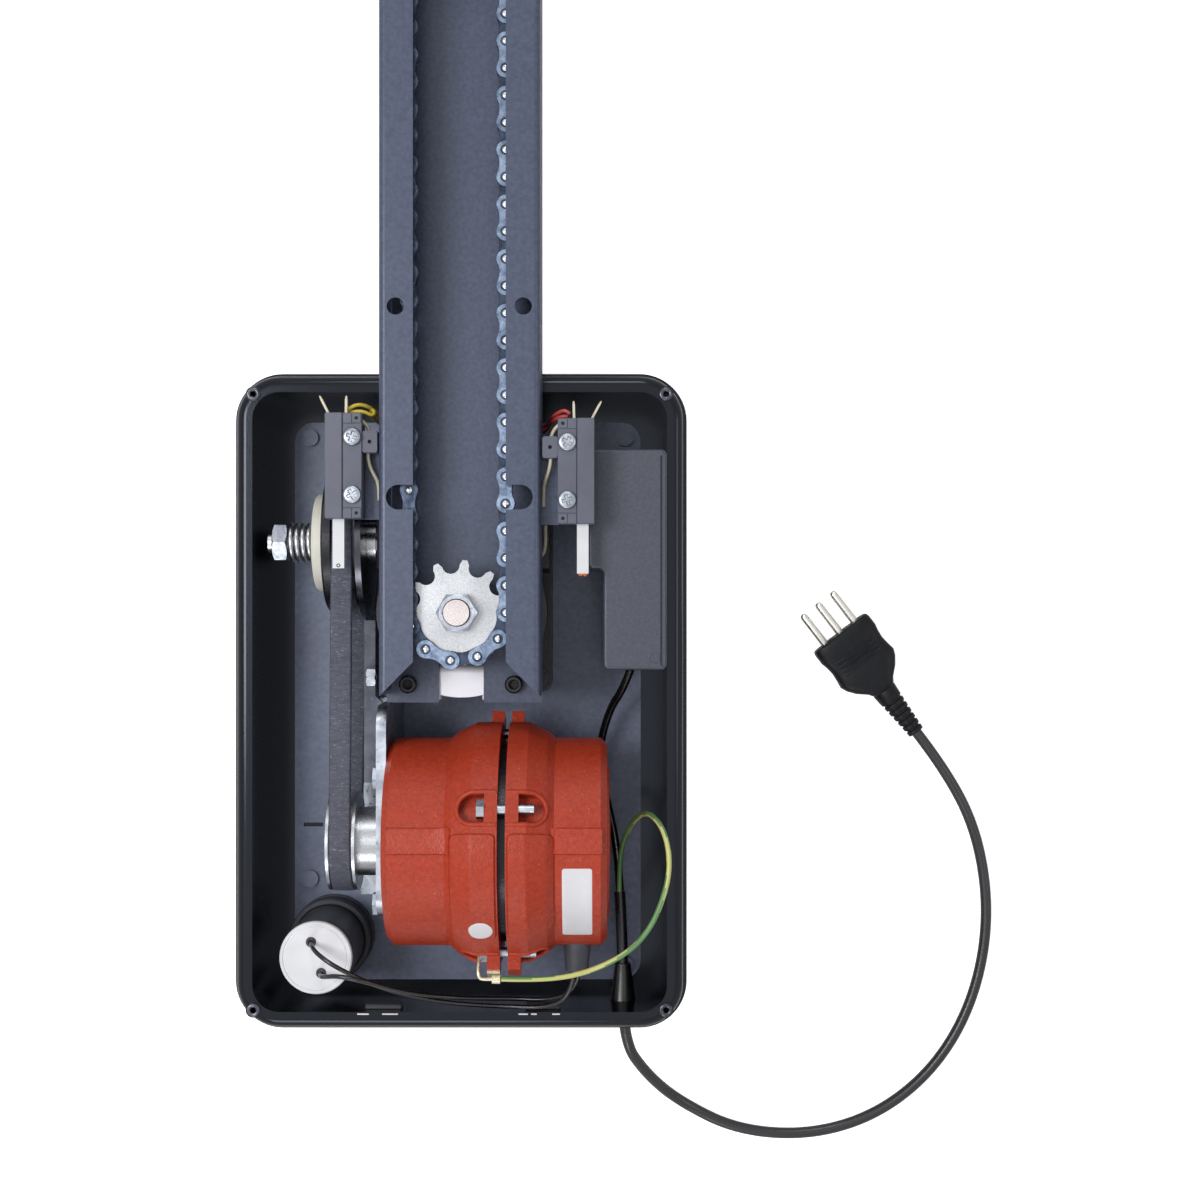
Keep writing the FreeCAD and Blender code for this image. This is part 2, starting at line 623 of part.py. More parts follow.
def build_rail():
    outer = bent_bar(rail_x0, rail_x1, rail_y0, rail_end_y, rail_z0, rail_z1, RAIL_BEND_R)
    above = rail_z1 + RIM_GAP
    near = rail_y0 + MITRE_NEAR
    far = rail_y0 + MITRE_FAR
    past_x0 = rail_x0 - NOTCH_R
    past_x1 = rail_x1 + NOTCH_R
    past_y0 = rail_y0 - RIM_GAP
    past_y1 = rail_end_y + RIM_GAP
    holes = [
        bent_bar(
            rail_x0 + RAIL_WALL, rail_x1 - RAIL_WALL, past_y0, past_y1,
            web_top, rail_z1 - RAIL_WALL, RAIL_BEND_R - RAIL_WALL,
        ),
        box(slot_x0, slot_x1, past_y0, past_y1, web_top, above),
        prism(
            [
                (past_x0, past_y0), (past_x0, near), (rail_x0, near), (slot_x0, far),
                (slot_x1, far), (rail_x1, near), (past_x1, near), (past_x1, past_y0),
            ],
            web_top, above,
        ),
        box(
            sprocket_x - WEB_CUTOUT_R, sprocket_x + WEB_CUTOUT_R, past_y0, sprocket_y,
            TRAY_DEPTH, web_top + RIM_GAP,
        ),
        rod_z(WEB_CUTOUT_R, sprocket_x, sprocket_y, TRAY_DEPTH, web_top + RIM_GAP),
    ]
    for x, y in rail_screw_places():
        holes.append(rod_z(RAIL_SCREW_R + RUN_GAP, x, y, TRAY_DEPTH, web_top + RIM_GAP))
    flange_z = rail_z1 - RAIL_WALL - COLLAR_GAP
    notch_y = sprocket_y + NOTCH_DISTANCE
    for side, edge_x in ((-1, slot_x0), (1, slot_x1)):
        notch_x = edge_x + side * (NOTCH_DEPTH - NOTCH_R)
        holes.append(rod_z(NOTCH_R, notch_x, notch_y, flange_z, above))
        mouth = sorted((notch_x, edge_x - side * RAIL_WALL))
        holes.append(box(mouth[0], mouth[1], notch_y - NOTCH_R, notch_y + NOTCH_R, flange_z, above))
        hanger_x = rail_mid_x + side * HANGER_SPACING / 2
        holes.append(rod_z(HANGER_HOLE_R, hanger_x, sprocket_y + HANGER_DISTANCE, flange_z, above))
    keep("rail", outer.cut(holes).removeSplitter())

    screws = []
    for x, y in rail_screw_places():
        head = rod_z(1.7 * RAIL_SCREW_R, x, y, web_top, web_top + 2 * RAIL_SCREW_R)
        socket_low = Vector(x, y, web_top + RAIL_SCREW_R)
        head = head.cut(hex_bar(1.6 * RAIL_SCREW_R, socket_low, Z_AXIS, 2 * RAIL_SCREW_R))
        screws.append(head.fuse(rod_z(RAIL_SCREW_R, x, y, rail_z0 - COVER_THICK + BARREL_STEP, web_top)))
    keep("rail_screws", Part.makeCompound(screws))


def sprocket_solid(centre_x, centre_y, start_angle):
    """Toothed disc with round roller seats and narrow flat-topped teeth."""
    seat_r = ROLLER_R + RUN_GAP
    root_r = pitch_r - seat_r
    tip_r = pitch_r + TOOTH_RISE
    seat_half = math.radians(84.4)
    tip_half = math.radians(2.6)
    edges = []
    first = None
    last = None
    for i in range(TEETH):
        middle = math.radians(start_angle + i * tooth_step)
        outward = Vector(math.cos(middle), math.sin(middle), 0)
        across = Vector(-math.sin(middle), math.cos(middle), 0)
        seat = outward * (pitch_r - seat_r * math.cos(seat_half))
        seat_start = seat - across * seat_r * math.sin(seat_half)
        seat_end = seat + across * seat_r * math.sin(seat_half)
        half_gap = math.radians(tooth_step) / 2 - tip_half
        tip_before = Vector(tip_r * math.cos(middle - half_gap), tip_r * math.sin(middle - half_gap), 0)
        tip_after = Vector(tip_r * math.cos(middle + half_gap), tip_r * math.sin(middle + half_gap), 0)
        if last is not None:
            edges.append(Part.makeLine(last, tip_before))
        else:
            first = tip_before
        edges.append(Part.makeLine(tip_before, seat_start))
        edges.append(Part.Arc(seat_start, outward * root_r, seat_end).toShape())
        edges.append(Part.makeLine(seat_end, tip_after))
        last = tip_after
    edges.append(Part.makeLine(last, first))
    disc = Part.Face(Part.Wire(edges)).extrude(Vector(0, 0, SPROCKET_THICK))
    disc.translate(Vector(centre_x, centre_y, chain_z - SPROCKET_THICK / 2))
    return disc


def link_plate(start, end, z0):
    """Long plate with bevelled ends around two pins, laid flat at one height."""
    along = (end - start).normalize()
    across = Vector(-along.y, along.x, 0)
    r = LINK_PLATE_R
    bevel = 0.55 * r
    corners = [
        start - along * r - across * (r - bevel), start - along * (r - bevel) - across * r,
        end + along * (r - bevel) - across * r, end + along * r - across * (r - bevel),
        end + along * r + across * (r - bevel), end + along * (r - bevel) + across * r,
        start - along * (r - bevel) + across * r, start - along * r + across * (r - bevel),
    ]
    return prism([(c.x, c.y) for c in corners], z0, z0 + LINK_PLATE_THICK)


def chain_links(pins, ends_outer):
    """Links between pins, outer and inner by turns, with a roller at each pin that an inner link holds."""
    solids = []
    for i, (start, end) in enumerate(zip(pins, pins[1:])):
        outer = (i % 2 == 0) == ends_outer
        level = outer_z if outer else inner_z
        solids.append(link_plate(start, end, chain_z + level))
        solids.append(link_plate(start, end, chain_z - level - LINK_PLATE_THICK))
        if not outer:
            for pin in (start, end):
                foot = Vector(pin.x, pin.y, chain_z - inner_z)
                solids.append(hex_bar(1.72 * ROLLER_R, foot, Z_AXIS, ROLLER_WIDTH))
    return Part.makeCompound(solids)


def wrap_pins(centre_y, first_angle):
    """Pins that lie in the seats of one sprocket, half a turn of them."""
    pins = []
    for i in range((TEETH + 1) // 2):
        angle = math.radians(first_angle - i * tooth_step)
        pins.append(Vector(sprocket_x + pitch_r * math.cos(angle), centre_y + pitch_r * math.sin(angle), 0))
    return pins


def run_pins(side):
    """Pins of one straight run; the outer pin of its slanted last link lies in a sprocket seat."""
    x = sprocket_x + side * pitch_r
    if side > 0:
        pins = [Vector(x, sprocket_y + i * CHAIN_PITCH, 0) for i in range(RUN_LINKS)]
        return pins + [wrap_pins(return_y, 180)[-1]]
    pins = [Vector(x, return_y - i * CHAIN_PITCH, 0) for i in range(RUN_LINKS)]
    return pins + [wrap_pins(sprocket_y, 0)[-1]]


def build_chain():
    disc = sprocket_solid(sprocket_x, sprocket_y, 0)
    hub = rod_z(SPROCKET_HUB_R, sprocket_x, sprocket_y, shoulder_z, chain_z)
    bore = rod_z(OUTPUT_SHAFT_R + SEAT_GAP, sprocket_x, sprocket_y, 0, rail_z1)
    keep("drive_sprocket", disc.fuse(hub).cut(bore).removeSplitter())
    nut_z = chain_z + SPROCKET_THICK / 2
    nut = hex_bar(SPROCKET_NUT_FLATS, Vector(sprocket_x, sprocket_y, nut_z), Z_AXIS, SPROCKET_NUT_THICK)
    keep("sprocket_nut", nut.cut(bore))
    keep("chain_drive_wrap", chain_links(wrap_pins(sprocket_y, 0), False))
    keep("chain_return_wrap", chain_links(wrap_pins(return_y, 180), False))
    keep("chain_run_right", chain_links(run_pins(1), True))
    keep("chain_run_left", chain_links(run_pins(-1), True))


def build_rail_end():
    low = chain_z - fork_gap - FORK_PLATE
    high = chain_z + fork_gap + FORK_PLATE
    x0 = sprocket_x - FORK_HALF_WIDTH
    x1 = sprocket_x + FORK_HALF_WIDTH
    bolt_y = bight_y + FORK_BIGHT / 3
    nut_y = rail_end_y + END_PLATE
    bolt_length = nut_y + TENSION_TAIL - bolt_y
    fork = box(x0, x1, return_y - FORK_HALF_WIDTH, bight_y + FORK_BIGHT, low, high)
    mouth = box(x0 - RIM_GAP, x1 + RIM_GAP, rail_y0, bight_y, low + FORK_PLATE, high - FORK_PLATE)
    pin_hole = rod_z(AXLE_R + RUN_GAP, sprocket_x, return_y, rail_z0, rail_z1)
    bolt_hole = rod(TENSION_R + SEAT_GAP, Vector(sprocket_x, bolt_y, chain_z), Y_AXIS, bolt_length)
    keep("tension_fork", fork.cut([mouth, pin_hole, bolt_hole]))

    axle = [
        rod_z(AXLE_R, sprocket_x, return_y, low, high),
        rod_z(AXLE_HEAD_R, sprocket_x, return_y, low - FORK_ROOM - RUN_GAP, low),
        rod_z(AXLE_HEAD_R, sprocket_x, return_y, high, high + FORK_ROOM),
    ]
    keep("return_axle", joined(axle))

    disc = sprocket_solid(sprocket_x, return_y, 180)
    hub_r = AXLE_R + RAIL_SCREW_R * 2
    hub = rod_z(hub_r, sprocket_x, return_y, low + FORK_PLATE, high - FORK_PLATE - RUN_GAP)
    bore = rod_z(AXLE_R + RUN_GAP, sprocket_x, return_y, 0, rail_z1)
    keep("return_sprocket", disc.fuse(hub).cut(bore).removeSplitter())

    plate = box(rail_x0, rail_x1, rail_end_y, nut_y, rail_z0 - END_PLATE, rail_z1 + END_HEIGHT)
    foot = box(rail_x0, rail_x1, rail_end_y - END_FOOT, rail_end_y, rail_z0 - END_PLATE, rail_z0)
    through = END_FOOT + END_PLATE
    holes = [rod(TENSION_R + RUN_GAP, Vector(sprocket_x, rail_end_y - RIM_GAP, chain_z), Y_AXIS, through)]
    for side in (-1, 1):
        hole_x = rail_mid_x + side * WALL_HOLE_SPACING / 2
        hole_start = Vector(hole_x, rail_end_y - RIM_GAP, rail_z1 + END_HEIGHT / 2)
        holes.append(rod(WALL_HOLE_R, hole_start, Y_AXIS, through))
    keep("end_bracket", joined([plate, foot]).cut(holes))

    bolt = rod(TENSION_R, Vector(sprocket_x, bolt_y, chain_z), Y_AXIS, bolt_length)
    nut = hex_bar(TENSION_NUT_FLATS, Vector(sprocket_x, nut_y, chain_z), Y_AXIS, TENSION_NUT_THICK)
    keep("tension_bolt", joined([bolt, nut]))


def build_clutch():
    y = worm_y
    z = WORM_HEIGHT
    bore_r = CLUTCH_SHAFT_R + SEAT_GAP
    edge = BARREL_STEP
    shaft = [
        rod_x(CLUTCH_SHAFT_R, clutch_end_x, collar_x, y, z),
        rod_x(CLUTCH_COLLAR_R, collar_x, collar_x + COLLAR_LENGTH, y, z),
        rod_x(WORM_SHAFT_R, collar_x + COLLAR_LENGTH, sprocket_x, y, z),
    ]
    keep("worm_shaft", joined(shaft))
    keep("clutch_plate", turned_x(
        [
            (clutch_plate_x, bore_r), (clutch_plate_x, CLUTCH_PLATE_R - edge),
            (clutch_plate_x + edge, CLUTCH_PLATE_R), (collar_x, CLUTCH_PLATE_R), (collar_x, bore_r),
        ], y, z))
    keep("clutch_pulley", turned_x(
        [
            (pulley_x, bore_r), (pulley_x, CLUTCH_FLANGE_R - edge), (pulley_x + edge, CLUTCH_FLANGE_R),
            (pulley_seat_x, CLUTCH_FLANGE_R), (pulley_seat_x, CLUTCH_SEAT_R), (clutch_plate_x, CLUTCH_SEAT_R),
            (clutch_plate_x, bore_r),
        ], y, z))
    keep("friction_disc", turned_x(
        [
            (friction_x, bore_r), (friction_x, FRICTION_DISC_R - edge), (friction_x + edge, FRICTION_DISC_R),
            (pulley_x, FRICTION_DISC_R), (pulley_x, bore_r),
        ], y, z))
    nut = hex_bar(CLUTCH_NUT_FLATS, Vector(clutch_nut_x, y, z), X_AXIS, NUT_THICK)
    keep("clutch_nut", nut.cut(rod_x(bore_r, clutch_end_x, friction_x, y, z)))

    sections = []
    steps_per_turn = 14
    half = SPRING_WIRE / 2
    rise = SPRING_LENGTH - SPRING_WIRE
    steps = steps_per_turn * SPRING_TURNS
    for i in range(steps + 1):
        turn = 2 * math.pi * i / steps_per_turn
        x = spring_x + half + rise * i / steps
        outward = Vector(0, math.cos(turn), math.sin(turn))
        middle = Vector(x, y, z) + outward * SPRING_R
        side = outward * half
        end = X_AXIS * half
        corners = [middle - side - end, middle + side - end, middle + side + end, middle - side + end]
        sections.append(Part.makePolygon(corners + corners[:1]))
    keep("clutch_spring", Part.makeLoft(sections, True, True))


def build_belt():
    small = MOTOR_PULLEY_R + RUN_GAP
    large = CLUTCH_SEAT_R + RUN_GAP
    x0 = belt_mid_x - BELT_WIDTH / 2
    width = Vector(BELT_WIDTH, 0, 0)
    outside = Part.Face(belt_loop(small + BELT_THICK, large + BELT_THICK, x0)).extrude(width)
    inside = Part.Face(belt_loop(small, large, x0)).extrude(width)
    keep("drive_belt", outside.cut(inside))


def belt_loop(small, large, x):
    """Closed outline of two pulley arcs and the two common tangents, in a plane of constant X."""
    near = Vector(x, motor_y, motor_z)
    far = Vector(x, worm_y, WORM_HEIGHT)
    span = far - near
    along = Vector(0, span.y, span.z).normalize()
    above = Vector(0, -along.z, along.y)
    lean = math.asin((large - small) / span.Length)
    points = []
    for side in (1, -1):
        normal = above * side * math.cos(lean) - along * math.sin(lean)
        points.append((near + normal * small, far + normal * large))
    (near_top, far_top), (near_low, far_low) = points
    edges = [
        Part.makeLine(near_top, far_top),
        Part.Arc(far_top, far + along * large, far_low).toShape(),
        Part.makeLine(far_low, near_low),
        Part.Arc(near_low, near - along * small, near_top).toShape(),
    ]
    return Part.Wire(edges)


def about_motor(shape, angle):
    """Turn a shape made above the motor axis; positive angles lean it towards +Y."""
    turned = shape.copy()
    turned.rotate(Vector(0, motor_y, motor_z), X_AXIS, -angle)
    return turned


def motor_body():
    """Whole outside of the motor before it is split in two."""
    bulge0 = motor_x0 + BULGE_START
    bulge1 = motor_x1 - BULGE_END
    bore = MOTOR_SHAFT_R + RUN_GAP
    blind = motor_x1 - MOTOR_BACK
    edge = MOTOR_EDGE
    return turned_x(
        [
            (motor_x0, bore), (motor_x0, MOTOR_R - edge), (motor_x0 + edge, MOTOR_R), (bulge0, MOTOR_R),
            (bulge0 + BULGE_STEP, MOTOR_R + edge), (bulge0 + BULGE_SLOPE, MOTOR_BULGE_R),
            (bulge1 - BULGE_SLOPE, MOTOR_BULGE_R), (bulge1 - BULGE_STEP, MOTOR_R + edge), (bulge1, MOTOR_R),
            (motor_x1 - edge, MOTOR_R), (motor_x1, MOTOR_R - edge), (motor_x1, 0), (blind, 0), (blind, bore),
        ], motor_y, motor_z)


def motor_lugs(x0, x1):
    """Four ears for the tie bolts; the top one stands in a pocket."""
    lugs = []
    for i in range(4):
        reach = MOTOR_BULGE_R if i == 0 else MOTOR_BULGE_R + LUG_REACH
        ear = box(
            x0, x1, motor_y - LUG_WIDTH / 2, motor_y + LUG_WIDTH / 2,
            motor_z + MOTOR_R - MOTOR_EDGE, motor_z + reach,
        )
        lugs.append(about_motor(ear, LUG_ANGLE + 90 * i))
    return lugs


def build_motor():
    body = motor_body()
    bolt_z = motor_z + MOTOR_BULGE_R - TIE_BOLT_DEPTH
    pocket_depth = TIE_BOLT_DEPTH + TIE_HEAD_FLATS / math.sqrt(3) + 2 * RUN_GAP
    pocket_z = motor_z + MOTOR_BULGE_R - pocket_depth
    pocket = rounded_block(
        split_x - POCKET_LENGTH / 2, split_x + POCKET_LENGTH / 2,
        motor_y - LUG_WIDTH / 2, motor_y + LUG_WIDTH / 2, pocket_z, pocket_z + MOTOR_R, 0.48 * LUG_WIDTH,
    )
    pockets = [about_motor(pocket, LUG_ANGLE + 90 * i) for i in range(4)]
    body = body.cut(pockets)
    strip = box(
        motor_x0 + MOTOR_EDGE, motor_x1 - MOTOR_EDGE, motor_y - STRIP_WIDTH / 2, motor_y + STRIP_WIDTH / 2,
        motor_z + MOTOR_R - MOTOR_EDGE, motor_z + MOTOR_R + STRIP_RISE,
    )
    strip = about_motor(strip, STRIP_ANGLE).cut(pockets[0])
    holes = []
    for i in range(4):
        hole = rod_x(TIE_BOLT_R + RUN_GAP, lug_x0 - LUG_LENGTH, lug_x1 + 2 * LUG_LENGTH, motor_y, bolt_z)
        holes.append(about_motor(hole, LUG_ANGLE + 90 * i))
    reach = 2 * MOTOR_BULGE_R
    floor_z = plate_top + RUN_GAP
    floor_cut = box(motor_x0 - reach, motor_x1 + reach, motor_y - reach, motor_y + reach, -reach, floor_z)
    shaft_bore = rod_x(MOTOR_SHAFT_R + RUN_GAP, bracket_x0, motor_x1 - MOTOR_BACK, motor_y, motor_z)
    for name, x0, x1, ear_x0, ear_x1 in (
        ("motor_shell_left", bracket_x0, split_x0, lug_x0, split_x0),
        ("motor_shell_right", split_x1, motor_x1 + BRACKET_THICK, split_x1, lug_x1),
    ):
        half_space = box(x0, x1, motor_y - reach, motor_y + reach, -reach, motor_z + reach)
        shell = joined([body.common(half_space), strip.common(half_space)] + motor_lugs(ear_x0, ear_x1))
        keep(name, shell.cut(holes + bracket_bolt_holes() + [floor_cut, shaft_bore]).removeSplitter())
    keep("motor_core", ring_x(
        MOTOR_BULGE_R - pocket_depth - BARREL_STEP, MOTOR_SHAFT_R + RUN_GAP,
        split_x0, split_x1, motor_y, motor_z,
    ))

    bolts = []
    for i in range(4):
        shank = rod_x(TIE_BOLT_R, lug_x0, lug_x1 + TIE_BOLT_TAIL, motor_y, bolt_z)
        head_start = Vector(lug_x0 - TIE_HEAD_THICK, motor_y, bolt_z)
        head = hex_bar(TIE_HEAD_FLATS, head_start, X_AXIS, TIE_HEAD_THICK)
        bolts.append(about_motor(shank.fuse(head), LUG_ANGLE + 90 * i))
    clear = box(-beyond, beyond, -beyond, beyond, floor_z, beyond)
    keep("motor_tie_bolts", Part.makeCompound([bolt.common(clear) for bolt in bolts]))

    keep("motor_shaft", rod_x(MOTOR_SHAFT_R, motor_pulley_x0, motor_x1 - MOTOR_BACK, motor_y, motor_z))
    bore_r = MOTOR_SHAFT_R + SEAT_GAP
    hub_end = bracket_x0 - SIDE_GAP
    keep("motor_pulley", turned_x(
        [
            (motor_pulley_x0, bore_r), (motor_pulley_x0, MOTOR_FLANGE_R),
            (motor_pulley_x0 + MOTOR_FLANGE, MOTOR_FLANGE_R),
            (motor_pulley_x0 + MOTOR_FLANGE, MOTOR_PULLEY_R),
            (motor_pulley_x1 - MOTOR_FLANGE, MOTOR_PULLEY_R),
            (motor_pulley_x1 - MOTOR_FLANGE, MOTOR_FLANGE_R),
            (motor_pulley_x1, MOTOR_FLANGE_R), (motor_pulley_x1, MOTOR_HUB_R), (hub_end, MOTOR_HUB_R),
            (hub_end, bore_r),
        ], motor_y, motor_z))


def bracket_foot_places():
    return [bracket_y1 - FOOT_INSET, bracket_y0 + FOOT_INSET]


def bracket_bolt_holes():
    """Two threaded holes in the motor's end for the bracket bolts."""
    depth = BRACKET_BOLT_DEPTH + BARREL_STEP
    hole_r = BRACKET_BOLT_R + SEAT_GAP
    return [
        rod_x(hole_r, bracket_x0, motor_x0 + depth, motor_y + side * BRACKET_BOLT_REACH, motor_z)
        for side in (-1, 1)
    ]


def build_motor_bracket():
    top = motor_z + BRACKET_RISE
    foot_top = plate_top + FOOT_THICK
    plate = box(bracket_x0, motor_x0, bracket_y0, bracket_y1, plate_top, top)
    corners = [
        edge for edge in plate.Edges
        if abs(edge.tangentAt(edge.FirstParameter).x) > 0.5 and edge.BoundBox.ZMin > top - 1
    ]
    plate = plate.makeFillet(BRACKET_CORNER_R, corners)
    foot = box(bracket_x0 - FOOT_LENGTH, bracket_x0, bracket_y0, bracket_y1, plate_top, foot_top)
    holes = bracket_bolt_holes()
    holes.append(rod_x(BRACKET_BORE_R, bracket_x0 - FOOT_LENGTH, split_x, motor_y, motor_z))
    for y in bracket_foot_places():
        holes.append(rod_z(GEARBOX_BOLT_R + RUN_GAP, bracket_foot_x, y, 0, 2 * foot_top))
    keep("motor_bracket", joined([plate, foot]).cut(holes))

    bolts = []
    for side in (-1, 1):
        y = motor_y + side * BRACKET_BOLT_REACH
        head_start = Vector(bracket_x0 - BOLT_HEAD_THICK, y, motor_z)
        head = hex_bar(BOLT_HEAD_FLATS, head_start, X_AXIS, BOLT_HEAD_THICK)
        bolts.append(head.fuse(rod_x(BRACKET_BOLT_R, bracket_x0, motor_x0 + BRACKET_BOLT_DEPTH, y, motor_z)))
    for y in bracket_foot_places():
        head = hex_bar(BOLT_HEAD_FLATS, Vector(bracket_foot_x, y, foot_top), Z_AXIS, BOLT_HEAD_THICK)
        bolts.append(head.fuse(rod_z(GEARBOX_BOLT_R, bracket_foot_x, y, TRAY_FLOOR, foot_top)))
    keep("motor_bracket_bolts", Part.makeCompound(bolts))


def build_motor_gland():
    root_y = motor_y - MOTOR_R + MOTOR_GLAND_ROOT
    start = Vector(motor_x0 + GLAND_DISTANCE, root_y, motor_z + MOTOR_GLAND_RISE)
    tip_r = MOTOR_GLAND_R - MOTOR_GLAND_TAPER
    neck = Part.makeCone(MOTOR_GLAND_R, tip_r, MOTOR_GLAND_LENGTH, start, Vector(0, -1, 0))
    keep("motor_gland", neck.cut(node_shapes["motor_shell_right"]))


def build_capacitor():
    x = capacitor_x
    y = capacitor_y
    base = plate_top + BOOT_FLOOR
    top = base + CAPACITOR_HEIGHT - CAPACITOR_CAP
    boot_top = plate_top + BOOT_HEIGHT
    keep("capacitor_can", rod_z(CAPACITOR_R, x, y, base, top))
    keep("capacitor_cap", rod_z(CAPACITOR_R - CAPACITOR_RIM, x, y, top, top + CAPACITOR_CAP))
    boot = rod_z(CAPACITOR_R + BOOT_WALL, x, y, plate_top, boot_top)
    keep("capacitor_boot", boot.cut(rod_z(CAPACITOR_R + SEAT_GAP, x, y, base, 2 * boot_top)))


def box_outline(inset):
    """Plan of the control box: an L that leaves room for the gearbox."""
    x0 = box_x0 + inset
    x1 = box_x1 - inset
    y0 = box_y0 + inset
    y1 = box_y1 - inset
    step_x = box_step_x + inset
    step_y = sprocket_y + BOX_STEP_DISTANCE + inset
    return [(step_x, y0), (x1, y0), (x1, y1), (x0, y1), (x0, step_y), (step_x, step_y)]


def box_block(z0, z1):
    """Outside of the control box between two heights, with its upright edges rounded."""
    block = prism(box_outline(0), z0, z1)
    upright = [edge for edge in block.Edges if abs(edge.tangentAt(edge.FirstParameter).z) > 0.5]
    return block.makeFillet(box_corner_r, upright)


def build_control_box():
    top = plate_top + BOX_HEIGHT
    seam = top - LID_HEIGHT
    inside = box_outline(BOX_WALL)
    floor = plate_top + BOX_WALL
    tub = box_block(plate_top, seam).cut(prism(inside, floor, top))
    keep("control_box", tub)
    lid = box_block(seam, top)
    rim = [edge for edge in lid.Edges if edge.BoundBox.ZMin > top - box_edge_r]
    lid = lid.makeFillet(box_edge_r, rim)
    keep("control_box_lid", lid.cut(prism(inside, plate_top, top - BOX_WALL)))

    x0 = box_step_x + BOX_WALL + board_room
    x1 = box_x1 - BOX_WALL - board_room
    y0 = box_y0 + BOX_WALL + BOARD_END_ROOM
    y1 = box_y1 - BOX_WALL - BOARD_END_ROOM
    board_z = floor + BOARD_FOOT
    parts_z = board_z + BOARD_THICK
    parts_x0 = x0 + BOARD_MARGIN
    parts_x1 = x1 - BOARD_MARGIN
    relay_y = y0 + 2 * BOARD_END_ROOM
    transformer_y = y1 - 2 * BOARD_END_ROOM
    solids = [
        box(x0, x1, y0, y1, board_z, parts_z),
        box(parts_x0, parts_x1, relay_y, relay_y + RELAY_LENGTH, parts_z, parts_z + RELAY_HEIGHT),
        box(
            parts_x0, parts_x1, transformer_y - TRANSFORMER_LENGTH, transformer_y,
            parts_z, parts_z + TRANSFORMER_HEIGHT,
        ),
    ]
    for y in (y0 + BOARD_FOOT, y1 - BOARD_FOOT):
        solids.append(rod_z(BOARD_FOOT_R, (x0 + x1) / 2, y, floor, board_z))
    keep("control_board", joined(solids))


def build_switch(name, side, middle_x, far_y):
    """Limit switch on an angle bracket from the rail's side, with a sprung lever at its near end."""
    x0 = middle_x - SWITCH_WIDTH / 2
    x1 = middle_x + SWITCH_WIDTH / 2
    near_y = far_y - SWITCH_LENGTH
    low = rail_z1 - SWITCH_DEPTH
    step_z = rail_z1 - SWITCH_STEP
    past = rail_z1 + RIM_GAP
    lever_x = middle_x + side * LEVER_OFFSET
    screw_x = middle_x - side * SWITCH_SCREW_OFFSET
    screw_places = [near_y + SWITCH_SCREW_INSET + i * SWITCH_SCREW_SPACING for i in range(2)]
    slot_low = low + LEVER_HEIGHT
    slot_high = slot_low + LEVER_THICK + 2 * RUN_GAP
    pin_y = near_y + LEVER_PIN_INSET
    slot = box(
        lever_x - LEVER_SLOT / 2, lever_x + LEVER_SLOT / 2, near_y - RIM_GAP,
        pin_y + LEVER_WIDTH / 2 + 4 * RUN_GAP, slot_low, slot_high,
    )
    pin = rod_z(LEVER_PIN_R, lever_x, pin_y, slot_low - RUN_GAP, slot_high + RUN_GAP)
    body = box(x0, x1, near_y, far_y, low, rail_z1).cut(slot)
    holes = [rod_z(SWITCH_SCREW_R + SEAT_GAP, screw_x, y, low - RIM_GAP, past) for y in screw_places]
    step_x = sorted((middle_x - side * SWITCH_WIDTH, screw_x + side * (SWITCH_HEAD_R + RUN_GAP)))
    recess = box(step_x[0], step_x[1], near_y - RIM_GAP, far_y + RIM_GAP, step_z, past)
    prong_z = rail_z1 - PRONG_WIDTH
    prongs = []
    for i in (-1, 1):
        prong_x = lever_x + i * PRONG_SPACING / 2
        prongs.append(box(
            prong_x - PRONG_THICK / 2, prong_x + PRONG_THICK / 2, far_y, far_y + PRONG_LENGTH,
            prong_z - PRONG_WIDTH, prong_z,
        ))
    keep(name, joined([body.cut(recess).cut(holes).fuse(pin)] + prongs))

    lever_low = slot_low + RUN_GAP
    lever_high = slot_high - RUN_GAP
    lever = box(
        lever_x - LEVER_WIDTH / 2, lever_x + LEVER_WIDTH / 2, pin_y - LEVER_LENGTH, pin_y,
        lever_low, lever_high,
    )
    eye = rod_z(LEVER_WIDTH / 2, lever_x, pin_y, lever_low, lever_high)
    eye_hole = rod_z(LEVER_PIN_R + RUN_GAP, lever_x, pin_y, low, rail_z1)
    keep(name.replace("limit_switch", "switch_lever"), joined([lever, eye]).cut(eye_hole))

    wall_x = rail_x0 if side < 0 else rail_x1
    shelf_low = low - SHELF_THICK
    shelf_x = sorted((wall_x, middle_x + side * SWITCH_WIDTH / 2))
    shelf = box(shelf_x[0], shelf_x[1], near_y, far_y - SHELF_END, shelf_low, low)
    skirt_x = sorted((wall_x, wall_x + side * SHELF_THICK))
    skirt = box(skirt_x[0], skirt_x[1], near_y, far_y - SHELF_END, rail_z0 + SKIRT_RISE, low)
    bracket = joined([shelf, skirt]).cut(holes)
    screws = []
    for y in screw_places:
        head = rod_z(SWITCH_HEAD_R, screw_x, y, step_z, step_z + SWITCH_HEAD_THICK)
        screws.append(head.fuse(rod_z(SWITCH_SCREW_R, screw_x, y, shelf_low, step_z)))
    return bracket, screws


def build_switches():
    left_x = rail_x0 - SWITCH_LEFT_ROOM - SWITCH_WIDTH / 2
    right_x = rail_x1 + SWITCH_RIGHT_ROOM + SWITCH_WIDTH / 2
    left_bracket, left_screws = build_switch("limit_switch_left", -1, left_x, sprocket_y + SWITCH_FAR_LEFT)
    far_y = sprocket_y + SWITCH_FAR_RIGHT
    right_bracket, right_screws = build_switch("limit_switch_right", 1, right_x, far_y)
    keep("limit_switch_brackets", Part.makeCompound([left_bracket, right_bracket]))
    keep("limit_switch_screws", Part.makeCompound(left_screws + right_screws))


